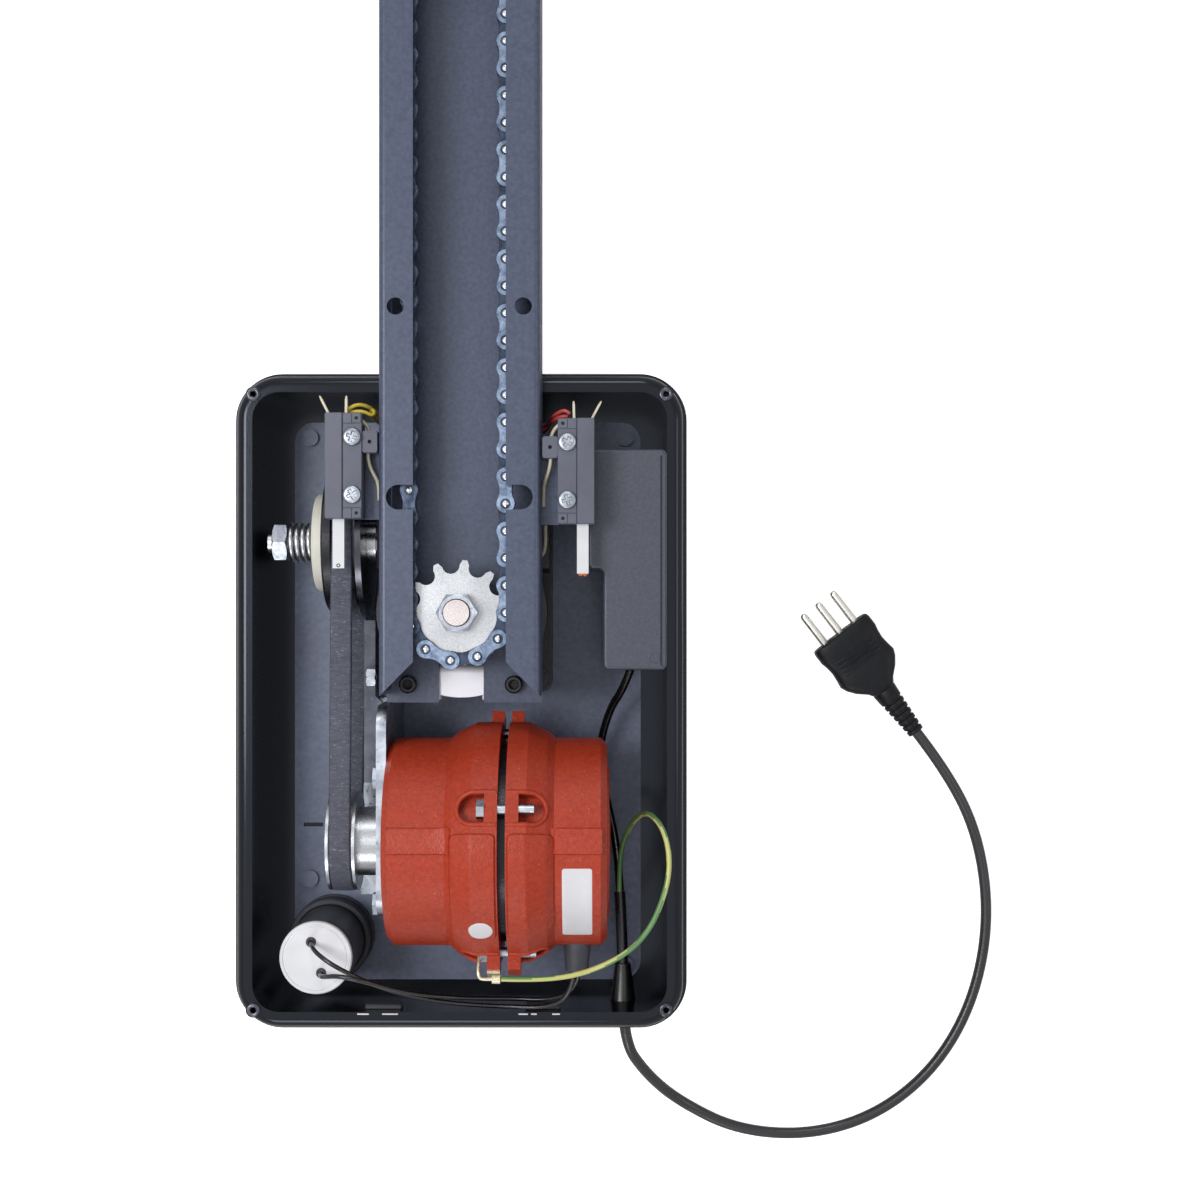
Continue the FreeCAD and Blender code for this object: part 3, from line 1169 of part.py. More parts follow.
def from_place(place, steps):
    """Points of a route, given as steps from one place."""
    return [place + Vector(*step) for step in steps]


def build_mains_cord():
    floor_z = CORD_D / 2
    plug_z = PLUG_THICK / 2
    outer_y = -TRAY_LENGTH / 2
    outside = Vector(cord_x, outer_y, 0)
    in_gland = Vector(cord_x, motor_y + CORD_START, CORD_EXIT_Z)
    points = [in_gland, Vector(cord_x, outer_y + CORD_STRAIGHT, CORD_EXIT_Z)]
    points += from_place(outside, CORD_FROM_WALL)
    points += [Vector(cord_x + x, outer_y + y, floor_z) for x, y in CORD_ON_FLOOR]
    points += [Vector(cord_x + x, outer_y + y, plug_z) for x, y in CORD_TO_PLUG]
    keep("mains_cord", tube_along(points, CORD_D))
    keep("mains_sheath", tube_along([
        Vector(cord_x + SHEATH_LEAN, sheath_y, CORD_EXIT_Z),
        Vector(cord_x, motor_y + SHEATH_BEND, CORD_EXIT_Z),
        in_gland,
    ], CORD_D))
    wall_y = -inner_y - TRAY_WALL
    seat = [
        rod(GLAND_R + GLAND_FLANGE, Vector(cord_x, wall_y - GLAND_FLANGE, CORD_EXIT_Z), Y_AXIS, GLAND_FLANGE),
        rod(GLAND_R, Vector(cord_x, wall_y, CORD_EXIT_Z), Y_AXIS, TRAY_WALL),
        Part.makeCone(GLAND_R, GLAND_TIP_R, GLAND_LENGTH, Vector(cord_x, -inner_y, CORD_EXIT_Z), Y_AXIS),
    ]
    bore_start = Vector(cord_x, wall_y - GLAND_LENGTH, CORD_EXIT_Z)
    bore = rod(CORD_D / 2 + RUN_GAP, bore_start, Y_AXIS, 3 * GLAND_LENGTH)
    keep("mains_gland", joined(seat).cut(bore))

    tail = points[-1]
    along = (tail - points[-2]).normalize()
    across = Vector(-along.y, along.x, 0)
    heading = math.degrees(math.atan2(along.y, along.x))
    neck = tail + along * BOOT_LENGTH
    front = neck + along * PLUG_LENGTH
    keep("plug_boot", Part.makeCone(BOOT_TIP_R, BOOT_ROOT_R, BOOT_LENGTH, tail, along))
    half = PLUG_WIDTH / 2
    corner = PIN_D / 2
    shoulder_x = PLUG_THICK / 2
    flank = [(0, PLUG_NECK / 2), (shoulder_x, PLUG_SHOULDER / 2), (2 * shoulder_x, half)]
    flank += [(PLUG_LENGTH - corner, half), (PLUG_LENGTH, half - corner)]
    outline = [(x, -y) for x, y in flank] + flank[::-1]
    body = prism(outline, 0, PLUG_THICK)
    body.Placement = FreeCAD.Placement(Vector(neck.x, neck.y, 0), FreeCAD.Rotation(Z_AXIS, heading))
    keep("plug_body", body)
    pins = [rod(PIN_D / 2, front + across * (i * PIN_SPACING), along, PIN_LENGTH) for i in (-1, 0, 1)]
    keep("plug_pins", Part.makeCompound(pins))


def build_wires():
    """Wires that the tray holds from end to end."""
    angle = LUG_ANGLE + 270
    tip_z = motor_z + MOTOR_BULGE_R + LUG_REACH
    plate_end = tip_z + TERMINAL_THICK
    crimp_z = plate_end + CRIMP_R - SEAT_GAP
    tab = box(lug_x0, split_x0, motor_y - TERMINAL_WIDTH / 2, motor_y + TERMINAL_WIDTH / 2, tip_z, plate_end)
    crimp = rod_x(CRIMP_R, split_x0 - CRIMP_LENGTH, split_x0, motor_y, crimp_z)
    keep("earth_terminal", about_motor(joined([tab, crimp]), angle))
    lean = math.radians(-angle)
    reach = crimp_z - motor_z
    crimp_end = Vector(split_x0 + RUN_GAP, motor_y - reach * math.sin(lean), motor_z + reach * math.cos(lean))
    sheath_end = Vector(cord_x, sheath_y, CORD_EXIT_Z)
    earth = [crimp_end]
    earth += from_place(Vector(motor_x1, motor_y, motor_z), EARTH_BY_MOTOR)
    earth += from_place(Vector(cord_x, motor_y, motor_z), EARTH_BY_WALL)
    earth.append(sheath_end + Vector(*EARTH_IN_SHEATH))
    keep("earth_wire", tube_along(earth, EARTH_D))

    supply = [sheath_end + Vector(*SUPPLY_IN_SHEATH)]
    supply += from_place(Vector(cord_x, motor_y, 0), SUPPLY_BY_MOTOR)
    supply += from_place(Vector(cord_x, box_y0, 0), SUPPLY_BY_BOX)
    keep("supply_lead", tube_along(supply, SUPPLY_D))

    cap_top = Vector(capacitor_x, capacitor_y, plate_top + BOOT_FLOOR + CAPACITOR_HEIGHT)
    gland_y = motor_y - MOTOR_R + MOTOR_GLAND_ROOT - MOTOR_GLAND_LENGTH
    gland_end = Vector(motor_x0 + GLAND_DISTANCE, gland_y, motor_z + MOTOR_GLAND_RISE)
    leads = []
    for by_capacitor, by_gland in (
        (LEAD_A_BY_CAPACITOR, LEAD_A_BY_GLAND),
        (LEAD_B_BY_CAPACITOR, LEAD_B_BY_GLAND),
    ):
        leads.append(tube_along(from_place(cap_top, by_capacitor) + from_place(gland_end, by_gland), LEAD_D))
    keep("capacitor_leads", Part.makeCompound(leads))


build_tray()
build_base_plate()
build_gearbox()
build_rail()
build_chain()
build_rail_end()
build_clutch()
build_belt()
build_motor()
build_motor_bracket()
build_motor_gland()
build_capacitor()
build_control_box()
build_switches()
build_mains_cord()
build_wires()

for node, shape in node_shapes.items():
    shape.exportStep("parts/%s.step" % node)
    print(node, len(shape.Solids), shape.isValid(), round(shape.Volume))
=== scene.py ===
import json
import math

import bmesh
import bpy
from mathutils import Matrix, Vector


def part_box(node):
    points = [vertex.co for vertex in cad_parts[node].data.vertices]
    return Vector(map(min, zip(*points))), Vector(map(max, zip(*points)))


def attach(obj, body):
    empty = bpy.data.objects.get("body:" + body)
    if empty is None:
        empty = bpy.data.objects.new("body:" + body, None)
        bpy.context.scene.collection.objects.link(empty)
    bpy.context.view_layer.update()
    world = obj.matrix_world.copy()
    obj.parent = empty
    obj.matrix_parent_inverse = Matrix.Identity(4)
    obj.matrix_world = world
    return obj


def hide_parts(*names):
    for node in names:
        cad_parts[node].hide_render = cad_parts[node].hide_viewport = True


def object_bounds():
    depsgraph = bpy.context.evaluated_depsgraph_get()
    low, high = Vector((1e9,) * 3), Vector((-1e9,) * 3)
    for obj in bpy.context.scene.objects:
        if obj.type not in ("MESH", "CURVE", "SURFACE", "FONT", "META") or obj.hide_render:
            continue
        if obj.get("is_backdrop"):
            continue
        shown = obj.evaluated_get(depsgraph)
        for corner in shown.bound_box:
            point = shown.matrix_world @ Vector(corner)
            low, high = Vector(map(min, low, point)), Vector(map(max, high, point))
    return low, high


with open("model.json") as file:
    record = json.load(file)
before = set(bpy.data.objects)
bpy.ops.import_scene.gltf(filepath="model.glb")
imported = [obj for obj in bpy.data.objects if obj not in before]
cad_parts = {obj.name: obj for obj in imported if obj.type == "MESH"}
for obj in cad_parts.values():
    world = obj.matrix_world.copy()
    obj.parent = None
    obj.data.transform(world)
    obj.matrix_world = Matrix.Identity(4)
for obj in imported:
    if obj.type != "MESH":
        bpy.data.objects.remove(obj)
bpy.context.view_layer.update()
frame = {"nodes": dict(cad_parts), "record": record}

nodes = frame["nodes"]

# all lengths below are in millimetres, apart from the stage; Shape and spline turn them into metres
MM = 0.001
X = Vector((1, 0, 0))
Y = Vector((0, 1, 0))
Z = Vector((0, 0, 1))


def box(node):
    """Low and high corner of a CAD node."""
    low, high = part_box(node)
    return low / MM, high / MM


def middle(node):
    low, high = box(node)
    return (low + high) / 2


def show(thing):
    bpy.context.scene.collection.objects.link(thing)


# camera, straight above the tray
CAMERA_PLACE = (67.7, 49.2, 968)
CAMERA_LENS = 56.49
CAMERA_SENSOR = 36
CAMERA_NEAR = 10
camera_data = bpy.data.cameras.new("camera")
camera_data.lens = CAMERA_LENS
camera_data.sensor_width = CAMERA_SENSOR
camera_data.clip_start = CAMERA_NEAR * MM
camera = bpy.data.objects.new("camera", camera_data)
camera.location = Vector(CAMERA_PLACE) * MM
show(camera)
bpy.context.scene.camera = camera
bpy.context.scene.view_settings.view_transform = "Standard"

# materials: levels of the noises, detail of each noise, and depth of the bump in metres
DRIFT_LEVELS = (0.32, 0.68)
GLOSS_LEVELS = (0.3, 0.7)
FLECK_WIDTH = 0.05
DRIFT_DETAIL = 4.0
GRAIN_DETAIL = 5.0
FLECK_DETAIL = 6.0
LEAST_ROUGH = 0.03
BUMP_DEPTH = 0.0004
NONE = (0, 0, 0, 1)
FULL = (1, 1, 1, 1)


def srgb(colour):
    """Shader colour from display values of 0 to 255."""
    out = []
    for value in colour:
        share = value / 255
        out.append(share / 12.92 if share <= 0.04045 else ((share + 0.055) / 1.055) ** 2.4)
    return (*out, 1.0)


def feed(tree, node, inputs):
    """Gives a shader node its inputs: another node's output is linked, and anything else is a constant."""
    for socket, value in inputs.items():
        if isinstance(value, bpy.types.NodeSocket):
            tree.links.new(value, node.inputs[socket])
        else:
            node.inputs[socket].default_value = value


def shade(tree, kind, inputs, output):
    """New shader node with its inputs; gives one of its outputs."""
    node = tree.nodes.new("ShaderNode" + kind)
    feed(tree, node, inputs)
    return node.outputs[output]


def blend(tree, share, first, second):
    """Colour that goes from the first to the second as the share rises."""
    return shade(tree, "MixRGB", {"Fac": share, "Color1": first, "Color2": second}, "Color")


def surface(name, dark, light, rough, metal=0.0, grain=900.0, stretch=(1, 1, 1), bump=0.15, spread=0.08,
            specular=0.5, tint=FULL, drift=45.0, fleck=None):
    """Moulded, painted or worked surface: colour drift, uneven roughness and fine bump.

    Flecks of wear are given as their colour, the scale of their noise and the level that they start from.
    """
    material = bpy.data.materials.new(name)
    material.use_nodes = True
    tree = material.node_tree
    place = shade(tree, "TexCoord", {}, "Object")
    stretched = shade(tree, "Mapping", {"Vector": place, "Scale": stretch}, "Vector")

    def noise(scale, detail):
        return shade(tree, "TexNoise", {"Vector": stretched, "Scale": scale, "Detail": detail}, "Fac")

    def ramp(value, levels, colours):
        """Colour that goes from the first to the second between two levels of a noise."""
        steps = tree.nodes.new("ShaderNodeValToRGB")
        for stop, level, colour in zip(steps.color_ramp.elements, levels, colours):
            stop.position = level
            stop.color = colour
        feed(tree, steps, {"Fac": value})
        return steps.outputs["Color"]

    colour = ramp(noise(drift, DRIFT_DETAIL), DRIFT_LEVELS, (srgb(dark), srgb(light)))
    fine = noise(grain, GRAIN_DETAIL)
    if fleck is not None:
        fleck_colour, fleck_scale, level = fleck
        spots = ramp(noise(fleck_scale, FLECK_DETAIL), (level, level + FLECK_WIDTH), (NONE, FULL))
        colour = blend(tree, spots, colour, srgb(fleck_colour))
    gloss = shade(tree, "MapRange", {
        "Value": fine, "From Min": GLOSS_LEVELS[0], "From Max": GLOSS_LEVELS[1],
        "To Min": max(LEAST_ROUGH, rough - spread), "To Max": min(1.0, rough + spread),
    }, "Result")
    relief = shade(tree, "Bump", {"Height": fine, "Strength": bump, "Distance": BUMP_DEPTH}, "Normal")
    feed(tree, tree.nodes["Principled BSDF"], {
        "Base Color": colour, "Roughness": gloss, "Normal": relief, "Metallic": metal,
        "Specular IOR Level": specular, "Specular Tint": tint,
    })
    return material


TRAY = surface("tray_plastic_grain", (4, 4, 7), (8, 8, 12), 0.14, grain=2600, bump=0.05, spread=0.04,
               specular=0.3, tint=(0.76, 0.84, 1, 1), drift=600)
PAINT = surface("dark_paint", (62, 69, 90), (78, 85, 107), 0.34, grain=2200, bump=0.12, drift=520,
                tint=(0.84, 0.9, 1, 1), fleck=((108, 115, 138), 1100, 0.7))
# lighter copy of the dark paint for the base plate and its screws: painted light that makes up for the lamp
# light the deep plate misses
PLATE_PAINTED_LIGHT = surface("plate_paint_painted_light", (102, 109, 132), (118, 125, 148), 0.38, grain=2200, bump=0.12, drift=420,
                tint=(0.84, 0.9, 1, 1), fleck=((128, 135, 158), 1000, 0.7))
ZINC = surface("zinc_plate", (126, 131, 140), (170, 175, 184), 0.34, metal=1.0, grain=700, drift=120,
               fleck=((112, 120, 140), 420, 0.64))
GALVANISED = surface("galvanised_steel", (98, 102, 114), (126, 130, 142), 0.42, metal=0.5, grain=1200,
                     drift=160, fleck=((146, 150, 160), 520, 0.66))
BLACK_STEEL = surface("blacked_steel", (26, 26, 31), (44, 44, 51), 0.3, metal=0.6, grain=1500)
DARK_STEEL = surface("dark_turned_steel", (58, 59, 66), (84, 85, 93), 0.22, metal=0.9, grain=1500,
                     stretch=(3, 1, 1), bump=0.08)
DARK_CAST = surface("dark_casting", (26, 28, 34), (40, 42, 50), 0.5, grain=1400, bump=0.4)
BRIGHT = surface("turned_steel", (174, 176, 181), (200, 202, 206), 0.28, metal=1.0, grain=1300,
                 stretch=(1, 1, 3), bump=0.06)
SPROCKET = surface("sprocket_steel", (150, 152, 156), (174, 176, 180), 0.3, metal=1.0, grain=1300,
                   stretch=(1, 1, 3), bump=0.06)
SHAFT_END = surface("turned_shaft", (166, 157, 157), (190, 182, 182), 0.3, metal=1.0, grain=1300, bump=0.06)
CAST = surface("cast_alloy", (186, 187, 194), (222, 223, 229), 0.5, metal=0.5, grain=1100, bump=0.35)
CHAIN = surface("chain_steel_blue", (84, 98, 120), (134, 149, 172), 0.3, metal=0.9, grain=900, drift=260,
                fleck=((56, 66, 84), 600, 0.66))
# darker copy of the chain steel for the left run: painted shade under the left flange
CHAIN_PAINTED_SHADE = surface("chain_steel_painted_shade", (46, 54, 70), (84, 95, 115), 0.3, metal=0.9, grain=900, drift=260,
                       fleck=((34, 40, 54), 600, 0.66))
# darker copy of the chain steel for the inner plates and the rivet collars: painted shade between the outer
# plates and round the rivet heads
CHAIN_RECESS_SHADE = surface("chain_inner_painted_shade", (34, 42, 56), (60, 71, 90), 0.34, metal=0.8, grain=900, drift=260)
LINING = surface("beige_lining", (218, 216, 204), (238, 236, 224), 0.6, grain=1900, bump=0.25,
                 fleck=((150, 146, 134), 1500, 0.7))
BELT = surface("belt_fabric", (52, 55, 68), (76, 79, 95), 0.55, grain=1500, stretch=(0.5, 1.6, 1.6), bump=0.8,
               drift=420, fleck=((122, 125, 142), 1000, 0.62))
ENAMEL = surface("red_enamel_cast", (166, 53, 30), (188, 64, 37), 0.36, grain=1100, bump=0.7, drift=500,
                 specular=0.3, fleck=((208, 130, 104), 900, 0.69))
RUBBER = surface("grey_black_rubber", (40, 42, 49), (58, 60, 68), 0.6, grain=2400, bump=0.2)
BOOT = surface("boot_rubber", (10, 10, 13), (17, 17, 21), 0.3, grain=2400, bump=0.1)
CAN = surface("capacitor_grey", (50, 50, 52), (64, 64, 67), 0.4, grain=1800, bump=0.1)
WHITE = surface("white_moulding", (224, 225, 229), (238, 239, 243), 0.42, grain=1800, bump=0.1)
BOXED = surface("black_moulding", (54, 58, 72), (68, 72, 87), 0.4, grain=2400, bump=0.25, drift=900,
                fleck=((94, 98, 114), 1500, 0.69))
PLUG = surface("plug_moulding", (10, 11, 16), (18, 19, 25), 0.4, grain=2200, bump=0.2, specular=0.18,
               drift=400)
SLEEVE = surface("sleeve_grey", (46, 48, 56), (60, 62, 71), 0.5, grain=2400, bump=0.15)
TINNED = surface("tinned_lug", (206, 196, 168), (236, 226, 200), 0.3, metal=0.6, grain=900)
BOARD = surface("board_green", (30, 74, 48), (44, 92, 60), 0.4, grain=900)
SWITCH = surface("switch_grey", (78, 81, 95), (94, 97, 112), 0.5, grain=2600, bump=0.22,
                 fleck=((116, 119, 134), 1700, 0.7))
CORD = surface("cord_sheath_black", (18, 18, 22), (30, 30, 35), 0.3, grain=1400, bump=0.1)
NICKEL = surface("nickel_pin", (188, 186, 180), (214, 212, 206), 0.24, metal=1.0, grain=1200)
EARTH_GREEN = surface("earth_green", (92, 140, 84), (116, 162, 100), 0.36, grain=1500)
EARTH_YELLOW = surface("earth_yellow", (204, 206, 124), (222, 222, 144), 0.36, grain=1500)
LEAD = surface("lead_black", (9, 9, 12), (16, 16, 20), 0.24, grain=1500, bump=0.08)
PAPER = surface("bare_label", (222, 221, 225), (238, 237, 241), 0.5, grain=2400, bump=0.05)
CREAM = surface("cream_insulation", (206, 198, 172), (226, 218, 192), 0.46, grain=1500)
YELLOW = surface("yellow_insulation", (206, 178, 48), (226, 200, 70), 0.4, grain=1500)
RED = surface("red_insulation", (170, 52, 50), (198, 76, 70), 0.4, grain=1500)
COPPER = surface("copper_end", (150, 82, 48), (190, 112, 70), 0.34, metal=1.0, grain=900)
# near-black for the floors of blind holes and sockets and for the lever's eye, where it is painted shade, and
# for the lid's joint line
HOLLOW_SHADE_AND_JOINT = surface("painted_hollow_shade_and_joint", (8, 8, 10), (14, 14, 17), 0.7, grain=900)


def shade_beyond_edge(material, colour, metal, edge, width):
    """Casting bright and partly metallic on the near side of one y place; beyond it the dark colour is
    painted shade under the rail.
    """
    tree = material.node_tree
    shader = tree.nodes["Principled BSDF"]
    # the surface's own dark colour here is the painted shade
    painted = shader.inputs["Base Color"].links[0].from_socket
    place = shade(tree, "TexCoord", {}, "Object")
    y = shade(tree, "SeparateXYZ", {"Vector": place}, "Y")
    # share of the bright casting, rising towards the near end
    bare = shade(tree, "MapRange", {
        "Value": y, "From Min": (edge + width) * MM, "From Max": edge * MM,
    }, "Result")
    feed(tree, shader, {
        "Base Color": blend(tree, bare, painted, srgb(colour)),
        "Metallic": shade(tree, "MapRange", {"Value": bare, "To Max": metal}, "Result"),
    })
    return material


SHADE_EDGE_Y = 14
SHADE_EDGE_WIDTH = 4
# gearbox cover: dark cast colour as painted shade under the rail, bright casting at its near end
COVER = surface("gearbox_cover_painted_shade", (26, 28, 34), (40, 42, 50), 0.5, grain=1400, bump=0.3)
COVER = shade_beyond_edge(COVER, (228, 228, 235), 0.35, SHADE_EDGE_Y, SHADE_EDGE_WIDTH)

SLOT_LOOKS = {
    "tray_plastic": TRAY, "dark_painted_steel": PAINT, "zinc_steel": ZINC, "black_steel": BLACK_STEEL,
    "bright_steel": BRIGHT, "cast_aluminium": CAST, "chain_steel": CHAIN, "friction_lining": LINING,
    "belt_rubber": BELT, "red_enamel": ENAMEL, "black_rubber": RUBBER, "capacitor_case": CAN,
    "white_plastic": WHITE, "black_plastic": BOXED, "board_laminate": BOARD, "switch_plastic": SWITCH,
    "cord_sheath": CORD, "pin_nickel": NICKEL, "earth_sheath": EARTH_GREEN, "lead_sheath": LEAD,
}
NODE_LOOKS = {
    "base_plate": PLATE_PAINTED_LIGHT, "base_plate_screws": PLATE_PAINTED_LIGHT, "clutch_pulley": BLACK_STEEL, "clutch_plate": DARK_STEEL,
    "gearbox_housing": DARK_CAST, "gearbox_bolts": BLACK_STEEL, "gearbox_cover": COVER, "mains_gland": BOOT,
    "motor_gland": SLEEVE, "output_shaft": SHAFT_END, "earth_terminal": TINNED,
    "drive_sprocket": SPROCKET, "return_sprocket": SPROCKET, "motor_pulley": SPROCKET,
}
node_slots = {part["node"]: part["material_slot"] for part in frame["record"]["subparts"]}
for name, node in nodes.items():
    look = NODE_LOOKS.get(name) or SLOT_LOOKS[node_slots[name]]
    node.data.materials.clear()
    node.data.materials.append(look)


# mesh and curve pieces
class Shape:
    """Collects the points and faces of one mesh piece."""

    def __init__(self):
        self.points = []
        self.faces = []
        self.marks = []

    def add(self, points, faces, mark=0):
        first = len(self.points)
        self.points += points
        for face in faces:
            self.faces.append([first + i for i in face])
            self.marks.append(mark)

    def loft(self, rings, closed=False, mark=0):
        """Skin over rings of equal count with capped ends, or closed from the last ring to the first."""
        count = len(rings[0])
        faces = []
        pairs = [(r, r + 1) for r in range(len(rings) - 1)]
        if closed:
            pairs.append((len(rings) - 1, 0))
        for r, s in pairs:
            for i in range(count):
                j = (i + 1) % count
                faces.append([r * count + i, r * count + j, s * count + j, s * count + i])
        if not closed:
            faces.append(list(range(count))[::-1])
            faces.append(list(range((len(rings) - 1) * count, len(rings) * count)))
        self.add([p for ring in rings for p in ring], faces, mark)

    def sheet(self, rows):
        """Open skin over rows of equal count."""
        count = len(rows[0])
        faces = []
        for r in range(len(rows) - 1):
            for i in range(count - 1):
                faces.append([r * count + i, r * count + i + 1, (r + 1) * count + i + 1, (r + 1) * count + i])
        self.add([p for row in rows for p in row], faces)

    def lathe(self, start, axis, profile, steps=40, mark=0, closed=False):
        """Turned form: (along, radius) pairs about an axis."""
        side, up = side_axes(axis)
        rings = []
        for along, radius in profile:
            ring = []
            for turn in turns(steps):
                ring.append(start + axis * along + (side * math.cos(turn) + up * math.sin(turn)) * radius)
            rings.append(ring)
        self.loft(rings, closed=closed, mark=mark)

    def tube(self, path, radius, sides=12, mark=None):
        """Round bar along a line of points; mark may be a function of (ring, side)."""
        rings = []
        ahead = (path[1] - path[0]).normalized()
        side, _ = side_axes(ahead)
        for i, point in enumerate(path):
            ahead = (path[min(i + 1, len(path) - 1)] - path[max(i - 1, 0)]).normalized()
            side = (side - ahead * side.dot(ahead)).normalized()
            up = ahead.cross(side)
            rings.append([
                point + (side * math.cos(turn) + up * math.sin(turn)) * radius for turn in turns(sides)
            ])
        first = len(self.marks)
        self.loft(rings)
        if mark is not None:
            for r in range(len(rings) - 1):
                for k in range(sides):
                    self.marks[first + r * sides + k] = mark(r, k)

    def slab(self, outline, low, high, bevel, mark=0):
        """Flat plate with a plan outline of (x, y) and softened edges."""
        inner = inset(outline, bevel)
        self.loft([
            [Vector((x, y, z)) for x, y in ring]
            for ring, z in ((inner, low), (outline, low + bevel), (outline, high - bevel), (inner, high))
        ], mark=mark)

    def eyelet_block(self, x, y, half_x, half_y, hole_r, low, high, floor):
        """Square block with a round blind hole in its top; the hole's floor is near-black, painted shade."""
        count = 32
        outer = []
        hole = []
        for i in range(count):
            turn = math.tau * (i + 0.5) / count
            reach = 1 / max(abs(math.cos(turn)), abs(math.sin(turn)))
            outer.append((x + half_x * reach * math.cos(turn), y + half_y * reach * math.sin(turn)))
            hole.append((x + hole_r * math.cos(turn), y + hole_r * math.sin(turn)))
        self.loft([
            [Vector((px, py, z)) for px, py in ring]
            for ring, z in ((outer, low), (outer, high), (hole, high), (hole, floor))
        ])
        # the hole's floor takes the second look: painted shade
        self.marks[-1] = 1

    def make(self, name, looks, slot, replaced=(), angle=35, body="frame"):
        """Turns the collected faces into one piece; edges sharper than the angle stay sharp."""
        mesh = bpy.data.meshes.new(name)
        mesh.from_pydata([tuple(p * MM) for p in self.points], [], self.faces)
        for look in looks:
            mesh.materials.append(look)
        for polygon, mark in zip(mesh.polygons, self.marks):
            polygon.material_index = mark
        work = bmesh.new()
        work.from_mesh(mesh)
        bmesh.ops.recalc_face_normals(work, faces=work.faces)
        work.to_mesh(mesh)
        work.free()
        mesh.shade_smooth()
        mesh.set_sharp_from_angle(angle=math.radians(angle))
        return settle(bpy.data.objects.new(name, mesh), replaced, body)


def settle(piece, replaced, body="frame"):
    """Shows a finished piece, ties it to its body and hides the nodes that it stands for."""
    show(piece)
    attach(piece, body)
    if replaced:
        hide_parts(*replaced)
    return piece


def turns(count):
    """Angles of one full turn in equal steps."""
    return [math.tau * i / count for i in range(count)]


def side_axes(axis):
    """Two directions square to an axis and to each other."""
    helper = Y if abs(axis.y) < 0.9 else X
    side = axis.cross(helper).normalized()
    return side, axis.cross(side).normalized()


def inset(outline, distance):
    """Outline moved in towards its own middle line by about one distance."""
    count = len(outline)
    area = 0.0
    for (x0, y0), (x1, y1) in zip(outline, outline[1:] + outline[:1]):
        area += x0 * y1 - x1 * y0
    turn = 1 if area > 0 else -1
    out = []
    for i, (x, y) in enumerate(outline):
        before = Vector(outline[i - 1])
        after = Vector(outline[(i + 1) % count])
        along = (after - before).normalized()
        out.append((x - turn * along.y * distance, y + turn * along.x * distance))
    return out


def round_rect(x0, x1, y0, y1, radius, steps=5):
    points = []
    for cx, cy, start in (
        (x1 - radius, y0 + radius, -90), (x1 - radius, y1 - radius, 0),
        (x0 + radius, y1 - radius, 90), (x0 + radius, y0 + radius, 180),
    ):
        for i in range(steps + 1):
            turn = math.radians(start + 90 * i / steps)
            points.append((cx + radius * math.cos(turn), cy + radius * math.sin(turn)))
    return points


def new_curve(name, routes, resolution):
    """Curve with one smooth spline for each route of control points."""
    curve = bpy.data.curves.new(name, "CURVE")
    curve.dimensions = "3D"
    curve.resolution_u = resolution
    for route in routes:
        line = curve.splines.new("NURBS")
        line.points.add(len(route) - 1)
        for point, place in zip(line.points, route):
            point.co = (*(Vector(place) * MM), 1.0)
        line.order_u = 3
        line.use_endpoint_u = True
    return curve


def spline(name, routes, radius, look, replaced=()):
    """Round wire or cord along its routes."""
    curve = new_curve(name, routes, 16)
    curve.bevel_depth = radius * MM
    curve.bevel_resolution = 6
    curve.use_fill_caps = True
    curve.materials.append(look)
    return settle(bpy.data.objects.new(name, curve), replaced)


def spline_points(route):
    """Points read from a route's own spline."""
    curve = new_curve("reading", [route], 10)
    holder = bpy.data.objects.new("reading", curve)
    mesh = bpy.data.meshes.new_from_object(holder)
    points = [vertex.co / MM for vertex in mesh.vertices]
    bpy.data.objects.remove(holder)
    bpy.data.curves.remove(curve)
    bpy.data.meshes.remove(mesh)
    return points


def path_length(points):
    return sum((b - a).length for a, b in zip(points, points[1:]))


# mains cord
CORD_D = 5.5
CORD_ROUTE = [
    (79, -145, 30), (79, -170, 30), (91, -190, 17), (108, -207, 5), (138, -222.5, 2.75), (176, -225, 2.75),
    (211, -214, 2.75), (240, -190, 2.75), (259, -156.5, 2.75), (267, -116, 2.75), (262.5, -75, 2.75),
    (247, -41.3, 7), (229, -18, 7),
]
SHEATH_ROUTE = [(77.5, -96, 30), (79, -121, 30), (79, -145, 30)]
cord = spline("mains_cord_line", [CORD_ROUTE], CORD_D / 2, CORD, ["mains_cord"])
spline("mains_sheath_line", [SHEATH_ROUTE], CORD_D / 2, CORD, ["mains_sheath"])
cord_length = path_length(spline_points(CORD_ROUTE)) * MM

# plug: ribbed boot, moulded body with a waist and grip ribs, round-tipped pins
tail = Vector(CORD_ROUTE[-1])
plug_axis = (tail - Vector(CORD_ROUTE[-2])).normalized()
plug_side = Vector((-plug_axis.y, plug_axis.x, 0))
BOOT_LENGTH = 27
BOOT_BORE_R = 2.8
BOOT_TAIL_R = 4.2
BOOT_NECK_R = 6.4
BOOT_RIBS = 6
BOOT_RIB_STEP = 3.4
BOOT_FIRST_RIB = 2
BOOT_GROOVE = [(0, 0), (0.35, -0.75), (1.15, -0.75), (1.5, 0.1)]
BOOT_END = [(-0.4, 0), (0, -0.2)]
boot_profile = [(0, BOOT_BORE_R), (0, BOOT_TAIL_R)]
for i in range(BOOT_RIBS):
    start = BOOT_FIRST_RIB + i * BOOT_RIB_STEP
    radius = BOOT_TAIL_R + (BOOT_NECK_R - BOOT_TAIL_R) * start / BOOT_LENGTH
    boot_profile += [(start + along, radius + lift) for along, lift in BOOT_GROOVE]
boot_profile += [(BOOT_LENGTH + along, BOOT_NECK_R + lift) for along, lift in BOOT_END]
boot = Shape()
boot.lathe(tail, plug_axis, boot_profile, 36)
plug_boot = boot.make("plug_boot_ribbed", [PLUG], "black_rubber", ["plug_boot"])

